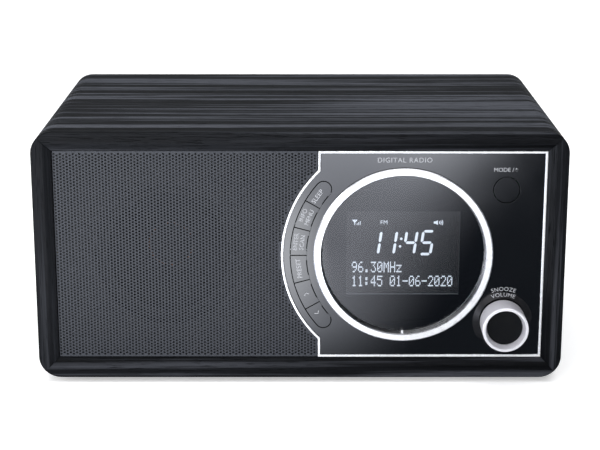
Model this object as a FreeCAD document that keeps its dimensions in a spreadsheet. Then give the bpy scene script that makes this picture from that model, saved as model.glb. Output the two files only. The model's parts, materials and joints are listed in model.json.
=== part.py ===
"""Tabletop digital radio: wooden sleeve, front frame, control fascia, loudspeaker, boards, aerial.

Units are millimetres. +X is to the right seen from the front, +Y goes back, +Z is up.
The origin is the middle of the radio's footprint, on the surface that the feet stand on.
"""
import FreeCAD, Part
import Sketcher
import math
import os
import re

doc = FreeCAD.newDocument("tabletop_radio")
sheet = doc.addObject("Spreadsheet::Sheet", "dims")
names = []


def sizes(**values):
    """Writes named sizes to the sheet, one aliased cell each."""
    for name, value in values.items():
        row = len(names) + 1
        sheet.set(f"A{row}", name)
        sheet.set(f"B{row}", repr(round(float(value), 6)))
        sheet.setAlias(f"B{row}", name)
        names.append(name)
    doc.recompute()


# Cabinet
sizes(cab_w=240, cab_h=115.5, cab_d=148.4, wall=9, corner_r=10, frame_t=9, bevel_w=3.6, bevel_d=2)
sizes(foot_h=2.5, foot_r=7, foot_taper=0.8, foot_inset_x=22, foot_inset_y=22, fit_gap=0.3, glue_gap=0.1)
# Front chassis and grille
sizes(chassis_y=5.1, chassis_t=3, cleat_w=5.5, cleat_d=14, cleat_screw_z=38, pilot_deep=8, mouth_gap=2)
sizes(grille_y=2.4, grille_t=0.8, fascia_lap=3)
# Control fascia: a rectangle joined to a disc that is concentric with the display
sizes(fascia_x=8.1, disc_x=46.9, disc_r=55.6, fascia_y=2.6, fascia_t=2.5, trim_w=1.2, trim_proud=0.7)
# Rings inside the disc, each a margin inside the last: button arc, display ring, its spigot, its bore
sizes(rim_w=4.05, arc_w=7.75, ring_gap=3.1, ring_lip=1.9, ring_wall=2, ring_proud=1.5, ring_w=3.1)
sizes(ring_round=0.5, ring_flare=0.4, ring_slope=0.9, pip_w=1, pip_h=1.3, pip_back=0.5)
# Lens, mask and liquid crystal module
sizes(lens_t=2, lens_lap=0.8, mask_t=0.8, mask_gap=0.2, window_side=11.05, window_rise=17.15, sight_gap=1)
sizes(glass_lap_x=2.75, glass_lap_z=2.85, lcd_skin=0.5, lcd_gap=0.2, glass_t=2.2, light_t=1.8)
# Arc of six flap buttons, and the round mode button
sizes(slot=0.42, pitch_deg=15, cap_deg=40.4, neck_deg=2.7, neck_t=0.6, neck_gap=0.08, joint_lap=0.1)
sizes(button_t=2, post_r=1.2, post_end=8.1, post_root=0.5, mode_x=92.85, mode_z=30.5, mode_r=6.15)
sizes(mode_neck=3.2, mode_neck_l=1.7, mode_neck_gap=0.3)
# Volume knob and its push encoder
sizes(knob_x=92.9, knob_z=-31.65, knob_r=10.4, knob_proud=12.5, knob_dish=3.6, knob_lip=1.1, knob_round=0.4)
sizes(knob_gap=0.1, knob_wall=1.2, web_t=2, hub_wall=1.6, hub_gap=1.2, cap_r=8.05, cap_t=1.5, cap_round=0.3)
sizes(dish_r=13.8, dish_floor_r=8, dish_t=1.2, shaft_r=3, shaft_fit=0.05, bush_wall=0.5, encoder_w=12)
sizes(encoder_d=6.5, shaft_in=2, plunger_l=1.15, encoder_floor=1.5)
# Control board and its switches
sizes(board_y=13, board_t=1.6, board_lap=6.3, board_side=1.5, board_edge=1.75, boss_r=2.5, boss_in=3.5)
sizes(boss_rise=1, screw_r=1.25, head_r=2.4, head_t=1.3, head_gap=0.2, recess=0.4, bar_share=0.25)
sizes(switch_w=6, switch_d=3.6, plunger_r=1.6, plunger_d=0.9)
sizes(front_screw_l=8.5, board_screw_l=6.5, cover_screw_l=9, main_screw_l=6)
# Loudspeaker
sizes(spk_x=-60, spk_r=39, hole_edge=2.4, flange_w=8, flange_t=1.2, gasket_t=1, roll_w=5, basket_d=20)
sizes(basket_seat=3, basket_wall=0.8, basket_foot=1, vent_w=14, vent_edge=3, vent_foot=4)
sizes(magnet_r=23, magnet_t=8, magnet_gap=2, plate_edge=2.5, plate_t=3, yoke_t=3, pole_gap=0.8)
sizes(coil_r=10.3, coil_t=0.4, coil_gap=0.6, coil_front=7, coil_back=4)
sizes(cone_lip=2, cone_edge=1.2, paper_t=0.5, paper_slant=0.3, roll_h=3.2, rubber_t=0.5, rubber_seat=1.8)
sizes(spider_in=3.4, spider_wave=2.4, spider_h=0.8, spider_t=0.5, dome_h=3)
# Rear cover, main board and sockets
sizes(cover_t=3, cover_inset=1, block_w=14, block_d=18, block_pilot=10, main_gap=12.8, main_x=40, main_w=112)
sizes(main_h=62, main_boss_r=3, cover_slot_l=60, cover_slot_h=2.2, cover_slot_pitch=6)
sizes(socket_z=-22, dc_x=34, line_x=54, phones_x=71, phone_r=1.8, phone_deep=13, jack_w=10, dc_r=2.85)
sizes(dc_w=12, dc_deep=10, dc_pin_r=1, dc_pin_back=1, nose_wall=2, nose_gap=0.1, socket_gap=0.2)
# Parts that stand on the main board, and the flat cable between the boards
sizes(tuner_x=22, tuner_z=14, tuner_w=34, tuner_h=24, tuner_d=4, tank_x=-44, tank_z=12, tank_pitch=14)
sizes(tank_r=5, tank_l=14, can_x=-16, can_z=-20, can_pitch=10, can_r=3, can_l=9)
sizes(ribbon_x=10, ribbon_w=14, ribbon_t=0.8, plug_w=5, plug_l=18, plug_d=5)
# Aerial
sizes(rod_side=9, turret_edge=1.25, turret_r=7.5, turret_t=2, turret_gap=0.2, stem_r=4, stem_over=0.4)
sizes(washer_r=6.5, washer_t=1, washer_gap=0.2, rod_lift=3.4, ear_w=6.8, ear_t=2, ear_gap=0.2, ear_root=0.5)
sizes(ear_short=0.3, lug_t=4.2, lug_r=2.9, pin_r=1, tongue_l=7, tongue_w=4, root_in=6, root_l=6)
sizes(collar_in=5, collar_l=2.5, collar_lip=0.3, tube_r=2.5, tube_wall=0.3, tube_gap=0.1, tube_l=118)
sizes(tube_step=1.2, tube_nest=5, tip_r=2.5, tip_l=6, tip_root=1)


def size(name):
    return float(sheet.get(name))


# Sizes that follow from the driving ones
rear_reach = size("cab_d") - size("cover_inset") + size("turret_t") + size("rod_lift") + size("lug_r")
front_reach = size("knob_proud") - size("fascia_y")
sizes(front_y=(front_reach - rear_reach) / 2, mid_z=size("foot_h") + size("cab_h") / 2)
sizes(open_w=size("cab_w") - 2 * size("wall"), open_h=size("cab_h") - 2 * size("wall"))
sizes(cover_y=size("cab_d") - size("cover_inset") - size("cover_t"),
      face_y=size("chassis_y") + size("chassis_t"), back_y=size("cab_d") - size("cover_inset"))
sizes(rod_y=size("back_y") + size("turret_t") + size("rod_lift"),
      rod_x=size("open_w") / 2 - size("block_w") - size("rod_side"),
      rod_z=size("open_h") / 2 - size("turret_edge") - size("turret_r"))
sizes(main_y=size("cover_y") - size("main_gap"), fascia_end=size("open_w") / 2 - size("fit_gap") / 2)
sizes(arc_out=size("disc_r") - size("rim_w"))
sizes(arc_in=size("arc_out") - size("arc_w"))
sizes(arc_mid=(size("arc_in") + size("arc_out")) / 2, ring_r=size("arc_in") - size("ring_gap"))
sizes(spigot_r=size("ring_r") - size("ring_lip"), lens_r=size("ring_r") + size("lens_lap"))
sizes(ring_bore=size("spigot_r") - size("ring_wall"))
sizes(window_w=2 * (size("ring_bore") - size("window_side")),
      window_h=2 * (size("ring_bore") - size("window_rise")))
sizes(lcd_w=size("window_w") + 2 * size("glass_lap_x"), lcd_h=size("window_h") + 2 * size("glass_lap_z"))
sizes(lens_y=size("fascia_y") + size("fascia_t"), knob_y=size("fascia_y") - size("knob_proud"))
sizes(mask_y=size("lens_y") + size("lens_t"), cone_y=size("face_y") + size("gasket_t"))
sizes(lcd_y=size("mask_y") + size("mask_t") + size("mask_gap"), bush_r=size("shaft_r") + size("bush_wall"))
sizes(board_x0=size("disc_x") - size("disc_r") - size("board_lap"),
      board_h=size("open_h") - 2 * size("board_edge"),
      board_x1=size("open_w") / 2 - size("cleat_w") - size("board_side"))
sizes(boss_row=size("board_h") / 2 - size("boss_in") + size("boss_rise"))
sizes(span_h=size("encoder_w") / 2 - size("knob_z") + size("fit_gap"),
      span_end=size("knob_x") + size("encoder_w") / 2 + size("fit_gap"))
sizes(spk_hole=size("spk_r") - size("hole_edge"), roll_r=size("spk_r") - size("flange_w"),
      plate_r=size("magnet_r") - size("plate_edge"))
sizes(cone_r=size("roll_r") - size("roll_w"), mouth_r=size("roll_r") + size("mouth_gap"))
sizes(tube_in=size("collar_in") + size("collar_l"))


def bound(text):
    """An expression in the sheet's own names, as FreeCAD wants it written."""
    return re.sub(r"[a-z_][a-z_0-9]*", lambda m: "dims." + m[0] if m[0] in names else m[0], str(text))


def number(text):
    return float(sheet.evalExpression(bound(text)))


def bind(thing, **expressions):
    """Ties properties of an object to expressions in the sheet's names."""
    for prop, text in expressions.items():
        setattr(thing, prop, number(text))
        thing.setExpression(prop, bound(text))


def put(thing, x="0", y="0", z="0", turn=None):
    """Places an object; x from the centre plane, y from the cabinet's front, z from its mid height."""
    if turn is not None:
        thing.Placement = FreeCAD.Placement(FreeCAD.Vector(), turn)
    for axis, text in (("x", x), ("y", f"front_y + {y}"), ("z", f"mid_z + {z}")):
        thing.setExpression(f"Placement.Base.{axis}", bound(text))
    return thing


ALONG_Y = FreeCAD.Rotation(FreeCAD.Vector(1, 0, 0), -90)
ALONG_MINUS_X = FreeCAD.Rotation(FreeCAD.Vector(0, 1, 0), -90)
UP = FreeCAD.Rotation()


def box(name, x, y, z, w, d, t):
    """A block with its left front bottom corner at x, y, z."""
    block = doc.addObject("Part::Box", name)
    bind(block, Length=w, Width=d, Height=t)
    return put(block, x, y, z)


def slab(name, x, z, w, h, y0, y1):
    """A block centred on x, z in the front view, from depth y0 to y1."""
    return box(name, f"{x} - ({w}) / 2", y0, f"{z} - ({h}) / 2", w, f"{y1} - ({y0})", h)


def rod(name, x, z, r, y0, y1, turn=ALONG_Y, angle="360"):
    """A cylinder along Y, or a sector of one."""
    round_bar = doc.addObject("Part::Cylinder", name)
    bind(round_bar, Radius=r, Height=f"{y1} - ({y0})", Angle=angle)
    return put(round_bar, x, y0, z, turn)


def cut(name, base, *tools):
    tool = tools[0] if len(tools) == 1 else fuse(name + "_tools", *tools)
    made = doc.addObject("Part::Cut", name)
    made.Base, made.Tool = base, tool
    return made


def fuse(name, *shapes):
    made = doc.addObject("Part::MultiFuse", name)
    made.Shapes = list(shapes)
    return made


def common(name, base, tool):
    made = doc.addObject("Part::Common", name)
    made.Base, made.Tool = base, tool
    return made


def group(name, *shapes):
    """Separate solids that share one node."""
    made = doc.addObject("Part::Compound", name)
    made.Links = list(shapes)
    return made


def outline(body, plane, points):
    """A closed sketch of straight lines whose corners are tied to expressions."""
    sketch = body.newObject("Sketcher::SketchObject", body.Label + "_sketch")
    origin = [f for f in body.Origin.OriginFeatures if f.Role == plane][0]
    sketch.AttachmentSupport = [(origin, "")]
    sketch.MapMode = "FlatFace"
    at = [FreeCAD.Vector(number(u), number(v), 0) for u, v in points]
    count = len(points)
    for i in range(count):
        sketch.addGeometry(Part.LineSegment(at[i], at[(i + 1) % count]), False)
    for i, (u, v) in enumerate(points):
        sketch.addConstraint(Sketcher.Constraint("Coincident", i, 2, (i + 1) % count, 1))
        for kind, text, value in (("DistanceX", u, at[i].x), ("DistanceY", v, at[i].y)):
            index = sketch.addConstraint(Sketcher.Constraint(kind, -1, 1, i, 1, value))
            sketch.setExpression(f"Constraints[{index}]", bound(text))
    return sketch


def turned(name, points, x, z):
    """A piece turned about an axis along Y: points are radius and depth."""
    body = doc.addObject("PartDesign::Body", name)
    sketch = outline(body, "XY_Plane", points)
    spin = body.newObject("PartDesign::Revolution", name + "_turn")
    spin.Profile = sketch
    spin.ReferenceAxis = (sketch, ["V_Axis"])
    spin.Angle = 360
    sketch.Visibility = False
    return put(body, x, "0", z)


def plate(name, points, y0, y1):
    """A flat piece cut to an outline in the front view, from depth y0 to y1."""
    body = doc.addObject("PartDesign::Body", name)
    sketch = outline(body, "XZ_Plane", points)
    pad = body.newObject("PartDesign::Pad", name + "_pad")
    pad.Profile = sketch
    pad.Reversed = True
    bind(pad, Length=f"{y1} - ({y0})")
    return put(body, "0", y0, "0")


def rounded(name, w, h, y0, y1, radius):
    """A block with its four long edges, which run along Y, rounded."""
    body = doc.addObject("PartDesign::Body", name)
    corners = [(f"{a} * ({w}) / 2", f"{b} * ({h}) / 2") for a, b in ((-1, -1), (1, -1), (1, 1), (-1, 1))]
    pad = body.newObject("PartDesign::Pad", name + "_pad")
    pad.Profile = outline(body, "XZ_Plane", corners)
    pad.Reversed = True
    bind(pad, Length=f"{y1} - ({y0})")
    doc.recompute()
    long_edges = [f"Edge{i + 1}" for i, edge in enumerate(pad.Shape.Edges)
                  if abs(edge.tangentAt(edge.FirstParameter).y) > 0.9]
    fillet = body.newObject("PartDesign::Fillet", name + "_fillet")
    fillet.Base = (pad, long_edges)
    bind(fillet, Radius=radius)
    return put(body, "0", y0, "0")


def screw(name, x, z, y, length, away=1):
    """A pan head screw with a cross recess; its shank runs from y, and its head stands at the other side."""
    if away > 0:
        shank = rod(name + "_shank", x, z, "screw_r", f"{y} - ({length})", y)
        head = rod(name + "_head", x, z, "head_r", y, f"{y} + head_t")
        recess = f"{y} + head_t * recess", f"{y} + head_t + 1"
    else:
        shank = rod(name + "_shank", x, z, "screw_r", y, f"{y} + {length}")
        head = rod(name + "_head", x, z, "head_r", f"{y} - head_t", y)
        recess = f"{y} - head_t - 1", f"{y} - head_t * recess"
    bars = [slab(f"{name}_bar{i}", x, z, w, h, *recess)
            for i, (w, h) in enumerate((("head_r", "head_r * bar_share"), ("head_r * bar_share", "head_r")))]
    return cut(name, fuse(name + "_blank", shank, head), *bars)


def holes(name, places, radius, y0, y1):
    """Drills along Y; a cutting tool runs 1 mm past each face that it opens."""
    return [rod(f"{name}_hole{i}", x, z, radius, y0, y1) for i, (x, z) in enumerate(places)]


# Places that several pieces share
CORNERS = [(a, b) for a in (-1, 1) for b in (-1, 1)]
CLEAT_SCREWS = [(f"{a} * (open_w / 2 - cleat_w / 2)", f"{b} * cleat_screw_z")
                for a in (-1, 1) for b in (-1, 0, 1)]
BOARD_SCREWS = [(x, f"{b} * boss_row") for x in ("board_x0 + boss_in", "board_x1 - boss_in")
                for b in (-1, 1)]
COVER_SCREWS = [(f"{a} * (open_w / 2 - block_w / 2)", f"{b} * (open_h / 2 - block_w / 2)") for a, b in CORNERS]
MAIN_SCREWS = [(f"main_x + {a} * (main_w / 2 - boss_in)", f"{b} * (main_h / 2 - boss_in)") for a, b in CORNERS]
SPEAKER_SCREWS = [(f"spk_x + {a} * spk_hole * sqrt(0.5)", f"{b} * spk_hole * sqrt(0.5)") for a, b in CORNERS]


def fascia_blank(name, inset, y0, y1):
    """The fascia's outline moved inwards by inset, from depth y0 to y1."""
    top = f"(open_h - fit_gap) / 2 - ({inset})"
    block = box(name + "_block", f"fascia_x + {inset}", y0, f"-({top})",
                f"fascia_end - fascia_x - 2 * ({inset})", f"{y1} - ({y0})", f"2 * ({top})")
    disc = rod(name + "_disc", "disc_x", "0", f"disc_r - ({inset})", y0, y1)
    band = box(name + "_band", "disc_x - disc_r - 1", y0, f"-({top})", "disc_r", f"{y1} - ({y0})",
               f"2 * ({top})")
    return fuse(name, block, common(name + "_bulge", disc, band))


def cabinet():
    """Sleeve, mitred front frame, cleats, corner blocks and feet."""
    sleeve = rounded("sleeve_blank", "cab_w", "cab_h", "frame_t", "cab_d", "corner_r")
    hollow = slab("sleeve_hollow", "0", "0", "open_w", "open_h", "frame_t - 1", "cab_d + 1")
    cut("cabinet_sleeve", sleeve, hollow)
    blank = rounded("frame_blank", "cab_w", "cab_h", "0", "frame_t", "corner_r")
    window = slab("frame_window", "0", "0", "open_w", "open_h", "-1", "frame_t + 1")
    bevel = doc.addObject("Part::Wedge", "frame_bevel")
    reach = "(bevel_w + bevel_w / bevel_d)"
    bind(bevel, Ymin="-1", Ymax="bevel_d", Xmin=f"-open_w / 2 - {reach}", Xmax=f"open_w / 2 + {reach}",
         Zmin=f"-open_h / 2 - {reach}", Zmax=f"open_h / 2 + {reach}", X2min="-open_w / 2", X2max="open_w / 2",
         Z2min="-open_h / 2", Z2max="open_h / 2")
    put(bevel)
    # reach is widened by one bevel slope, because the wedge starts 1 mm ahead of the face
    frame = cut("frame_whole", blank, window, bevel)
    outer = [("-cab_w / 2", "-cab_h / 2"), ("cab_w / 2", "-cab_h / 2"),
             ("cab_w / 2", "cab_h / 2"), ("-cab_w / 2", "cab_h / 2")]
    inner = [("-open_w / 2", "-open_h / 2"), ("open_w / 2", "-open_h / 2"),
             ("open_w / 2", "open_h / 2"), ("-open_w / 2", "open_h / 2")]
    for i, side in enumerate(("bottom", "right", "top", "left")):
        j = (i + 1) % 4
        mitre = plate(f"{side}_mitre", [outer[i], outer[j], inner[j], inner[i]], "0", "frame_t")
        common(f"frame_{side}_rail", frame, mitre)
    strips = [box(f"cleat{a + 1}", f"{a} * (open_w / 2 - cleat_w / 2) - cleat_w / 2", "face_y",
                  "-open_h / 2 + fit_gap", "cleat_w", "cleat_d", "open_h - 2 * fit_gap") for a in (-1, 1)]
    pilots = holes("cleat", CLEAT_SCREWS, "screw_r + shaft_fit", "face_y - 1", "face_y + pilot_deep")
    blocks = [cut(f"cleat_bored{i}", s, *pilots[3 * i:3 * i + 3]) for i, s in enumerate(strips)]
    for i, (x, z) in enumerate(COVER_SCREWS):
        block = slab(f"block{i}", x, z, "block_w", "block_w", "cover_y - block_d", "cover_y")
        blocks.append(cut(f"block_bored{i}", block, rod(f"block_pilot{i}", x, z, "screw_r + shaft_fit",
                                                        "cover_y - block_pilot", "cover_y + 1")))
    group("cabinet_blocks", *blocks)
    feet = []
    for i, (a, b) in enumerate(CORNERS):
        foot = doc.addObject("Part::Cone", f"foot{i}")
        bind(foot, Radius1="foot_r - foot_taper", Radius2="foot_r", Height="foot_h")
        feet.append(put(foot, f"{a} * (cab_w / 2 - foot_inset_x)",
                        f"cab_d / 2 + {b} * (cab_d / 2 - foot_inset_y)", "-cab_h / 2 - foot_h"))
    group("rubber_feet", *feet)


def chassis():
    """Moulded front chassis with its board bosses, its screws, and the perforated grille in front of it."""
    frame = slab("chassis_plate", "0", "0", "open_w - 2 * fit_gap", "open_h - 2 * fit_gap", "chassis_y", "face_y")
    mouth = rod("chassis_mouth", "spk_x", "0", "mouth_r", "chassis_y - 1", "face_y + 1")
    lens_span = slab("lens_span", "disc_x", "0", "2 * (lens_r + fit_gap)", "2 * (lens_r + fit_gap)",
                     "chassis_y - 1", "face_y + 1")
    button_span = box("button_span", "disc_x - disc_r", "chassis_y - 1", "-span_h", "span_end - disc_x + disc_r",
                      "chassis_t + 2", "2 * span_h")
    window = common("chassis_window", fascia_blank("chassis_gap", "fascia_lap", "chassis_y - 1", "face_y + 1"),
                    fuse("chassis_span", lens_span, button_span))
    bosses = [rod(f"boss{i}", x, z, "boss_r", "face_y - post_root", "board_y")
              for i, (x, z) in enumerate(BOARD_SCREWS)]
    solid = fuse("chassis_solid", frame, *bosses)
    bores = (holes("chassis_cleat", CLEAT_SCREWS, "screw_r + shaft_fit", "chassis_y - 1", "face_y + 1")
             + holes("chassis_sink", CLEAT_SCREWS, "head_r + head_gap", "chassis_y - 1",
                     "chassis_y + head_t + head_gap")
             + holes("chassis_board", BOARD_SCREWS, "screw_r + shaft_fit", "chassis_y + 1", "board_y + 1")
             + holes("chassis_speaker", SPEAKER_SCREWS, "screw_r + shaft_fit", "chassis_y - 1", "face_y + 1"))
    cut("front_chassis", solid, mouth, window, *bores)
    front_screws.extend(screw(f"chassis_screw{i}", x, z, "chassis_y + head_t + head_gap", "front_screw_l",
                              away=-1) for i, (x, z) in enumerate(CLEAT_SCREWS))
    sheet_metal = box("grille_sheet", "-open_w / 2 + fit_gap", "grille_y", "-open_h / 2 + fit_gap",
                      "open_w / 2 + disc_x", "chassis_y - grille_y", "open_h - 2 * fit_gap")
    pan = cut("grille_pan", sheet_metal, box("grille_inside", "-open_w / 2 + fit_gap + grille_t",
              "grille_y + grille_t", "-open_h / 2 + fit_gap + grille_t", "open_w", "chassis_y",
              "open_h - 2 * fit_gap - 2 * grille_t"))
    cut("speaker_grille", pan, fascia_blank("grille_end", "-fit_gap", "grille_y - 1", "chassis_y + 1"))


def fascia():
    """Gloss fascia plate with its bright edge trim."""
    bezel = fascia_blank("trim_outer", "0", "fascia_y - trim_proud", "lens_y")
    cut("fascia_trim", bezel, fascia_blank("trim_inner", "trim_w", "fascia_y - trim_proud - 1", "lens_y + 1"))
    front = fascia_blank("fascia_solid", "trim_w + glue_gap", "fascia_y", "lens_y")
    band = cut("band_ring", rod("band_out", "disc_x", "0", "arc_out", "fascia_y - 1", "lens_y + 1",
                                aim("180 + cap_deg"), "2 * cap_deg"),
               rod("band_in", "disc_x", "0", "arc_in", "fascia_y - 2", "lens_y + 2"))
    ends = [rod(f"band_end{i}", *on_arc(f"180 + {s} * cap_deg"), "(arc_out - arc_in) / 2", "fascia_y - 1",
                "lens_y + 1") for i, s in enumerate((-1, 1))]
    well = doc.addObject("Part::Cone", "fascia_dish")
    bind(well, Radius1="dish_r", Radius2="dish_floor_r", Height="dish_t")
    put(well, "knob_x", "fascia_y", "knob_z", ALONG_Y)
    cut("control_fascia", front, band, *ends,
        rod("fascia_eye", "disc_x", "0", "spigot_r + glue_gap", "fascia_y - 1", "lens_y + 1"),
        rod("fascia_mode", "mode_x", "mode_z", "mode_r", "fascia_y - 1", "lens_y + 1"),
        well,
        rod("fascia_shaft", "knob_x", "knob_z", "bush_r + fit_gap", "fascia_y - 1", "lens_y + 1"))


def aim(angle):
    """Points a sector so that it runs clockwise, seen from the front, from this angle."""
    return FreeCAD.Rotation(FreeCAD.Vector(0, 1, 0), -number(angle)) * ALONG_Y


def on_arc(angle, radius="arc_mid"):
    """The place on the button arc at an angle counted anticlockwise from +X."""
    return f"disc_x + ({radius}) * cos(({angle}) * 1deg)", f"({radius}) * sin(({angle}) * 1deg)"


def sector(name, r_in, r_out, start, stop, y0, y1):
    """Part of a ring round the display's centre, between two angles."""
    outer = rod(name + "_o", "disc_x", "0", r_out, y0, y1, aim(stop), f"{stop} - ({start})")
    return cut(name, outer, rod(name + "_i", "disc_x", "0", r_in, f"{y0} - 1", f"{y1} + 1"))


def flap_button(name, start, stop, cap):
    """A flap between two radial slots: two necks at its inner corners carry it, and a post meets the switch."""
    gap = "slot / arc_mid * 90 / pi"
    low, high = f"{start} + {gap}", f"{stop} - {gap}"
    low = start if cap < 0 else low
    high = stop if cap > 0 else high
    inner, outer = "arc_in + slot", "arc_out - slot"
    pieces = [sector(name + "_flap", inner, outer, low, high, "fascia_y", "fascia_y + button_t")]
    neck_starts = {0: (low, f"{high} - neck_deg"), 1: (low, f"{high} - neck_deg / 2"),
                   -1: (f"{low} - neck_deg / 2", f"{high} - neck_deg")}[cap]
    for i, at in enumerate(neck_starts):
        pieces.append(sector(f"{name}_neck{i}", "arc_in + neck_gap", f"{inner} + joint_lap", at,
                             f"{at} + neck_deg", "fascia_y", "fascia_y + neck_t"))
    if cap:
        pieces.append(rod(name + "_cap", *on_arc(start if cap < 0 else stop), f"({outer} - ({inner})) / 2",
                          "fascia_y", "fascia_y + button_t"))
    x, z = on_arc(f"({start} + {stop}) / 2")
    pieces.append(rod(name + "_post", x, z, "post_r", "fascia_y + button_t - post_root", "post_end"))
    fuse(name, *pieces)
    return x, z


def buttons():
    """Six flaps on the arc and the round mode flap, with their tact switches on the board."""
    edges = ["180 - cap_deg", "180 - 2 * pitch_deg", "180 - pitch_deg", "180", "180 + pitch_deg",
             "180 + 2 * pitch_deg", "180 + cap_deg"]
    labels = ["sleep_button", "menu_button", "scan_button", "preset_button", "up_button", "down_button"]
    places = [flap_button(label, edges[i], edges[i + 1], {0: -1, 5: 1}.get(i, 0))
              for i, label in enumerate(labels)]
    disc = rod("mode_disc", "mode_x", "mode_z", "mode_r - slot", "fascia_y", "fascia_y + button_t")
    neck = box("mode_neck_bar", "mode_x - mode_neck / 2", "fascia_y",
               "mode_z + mode_r - mode_neck_gap - mode_neck_l", "mode_neck", "neck_t", "mode_neck_l")
    post = rod("mode_post", "mode_x", "mode_z", "post_r", "fascia_y + button_t - post_root", "post_end")
    fuse("mode_button", disc, neck, post)
    places.append(("mode_x", "mode_z"))
    switches = []
    for i, (x, z) in enumerate(places):
        switches.append(slab(f"switch{i}", x, z, "switch_w", "switch_w", "board_y - switch_d", "board_y"))
        switches.append(rod(f"plunger{i}", x, z, "plunger_r", "board_y - switch_d - plunger_d",
                            "board_y - switch_d"))
    group("button_switches", *switches)


def display():
    """Bright ring with its marker, lens, mask, and the liquid crystal module behind them."""
    front = "fascia_y - ring_proud"
    ring = turned("ring_turned", [
        ("ring_bore", "lens_y"), ("spigot_r", "lens_y"), ("spigot_r", "fascia_y"), ("ring_r", "fascia_y"),
        ("ring_r", f"{front} + ring_round"), ("ring_r - ring_round", front), ("ring_r - ring_w", front),
        ("ring_bore + ring_flare", f"{front} + ring_slope")], "disc_x", "0")
    pip = box("ring_pip", "disc_x - pip_w / 2", "fascia_y", "-ring_bore - ring_flare", "pip_w",
              "lens_y - fascia_y - pip_back", "pip_h")
    fuse("display_ring", ring, pip)
    rod("display_lens", "disc_x", "0", "lens_r", "lens_y", "mask_y")
    mask = rod("mask_disc", "disc_x", "0", "lens_r", "mask_y", "mask_y + mask_t")
    cut("display_mask", mask, slab("mask_window", "disc_x", "0", "window_w", "window_h", "mask_y - 1",
                                   "lcd_y"))
    frame = slab("lcd_case", "disc_x", "0", "lcd_w + 2 * (lcd_skin + lcd_gap)",
                 "lcd_h + 2 * (lcd_skin + lcd_gap)", "lcd_y", "board_y")
    room = slab("lcd_room", "disc_x", "0", "lcd_w + 2 * lcd_gap", "lcd_h + 2 * lcd_gap", "lcd_y + lcd_skin",
                "board_y + 1")
    sight = slab("lcd_sight", "disc_x", "0", "window_w + 2 * sight_gap", "window_h + 2 * sight_gap",
                 "lcd_y - 1", "board_y")
    cut("lcd_frame", frame, room, sight)
    slab("lcd_glass", "disc_x", "0", "lcd_w", "lcd_h", "lcd_y + lcd_skin", "lcd_y + lcd_skin + glass_t")
    slab("lcd_backlight", "disc_x", "0", "lcd_w", "lcd_h", "lcd_y + lcd_skin + glass_t",
         "lcd_y + lcd_skin + glass_t + light_t")


def volume_control():
    """Turned metal knob with a dark inset cap, on the shaft of a push encoder."""
    floor, foot = "knob_y + knob_dish", "fascia_y - knob_gap"
    seat = f"{floor} + cap_t"
    web, socket = f"{seat} + web_t", "board_y - encoder_d"
    turned("volume_knob", [
        ("cap_r + knob_lip", "knob_y"), ("knob_r - knob_round", "knob_y"), ("knob_r", "knob_y + knob_round"),
        ("knob_r", foot), ("knob_r - knob_wall", foot), ("knob_r - knob_wall", web),
        ("shaft_r + hub_wall", web), ("shaft_r + hub_wall", "fascia_y - hub_gap"),
        ("shaft_r + shaft_fit", "fascia_y - hub_gap"), ("shaft_r + shaft_fit", seat),
        ("cap_r + glue_gap", seat), ("cap_r + glue_gap", floor)], "knob_x", "knob_z")
    turned("knob_cap", [("0", floor), ("cap_r - cap_round", floor), ("cap_r", f"{floor} + cap_round"),
                        ("cap_r", seat), ("0", seat)], "knob_x", "knob_z")
    rod("encoder_shaft", "knob_x", "knob_z", "shaft_r", f"{seat} + shaft_fit", f"{socket} + shaft_in")
    case = slab("encoder_block", "knob_x", "knob_z", "encoder_w", "encoder_w", socket, "board_y")
    bush = rod("encoder_bush", "knob_x", "knob_z", "bush_r", "lens_y - 1", f"{socket} + post_root")
    bore = rod("encoder_bore", "knob_x", "knob_z", "shaft_r + shaft_fit", "lens_y - 2", "board_y - encoder_floor")
    cut("encoder_case", fuse("encoder_solid", case, bush), bore)
    rod("encoder_plunger", "knob_x", "knob_z", "shaft_r - fit_gap", f"{socket} + shaft_in + shaft_fit",
        f"{socket} + shaft_in + shaft_fit + plunger_l")


def control_board():
    """Board behind the fascia, its screws and its ribbon socket."""
    plate_ = box("board_plate", "board_x0", "board_y", "-board_h / 2", "board_x1 - board_x0", "board_t", "board_h")
    cut("control_board", plate_, *holes("board", BOARD_SCREWS, "screw_r + shaft_fit", "board_y - 1",
                                        "board_y + board_t + 1"))
    front_screws.extend(screw(f"board_screw{i}", x, z, "board_y + board_t", "board_screw_l")
                        for i, (x, z) in enumerate(BOARD_SCREWS))


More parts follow.
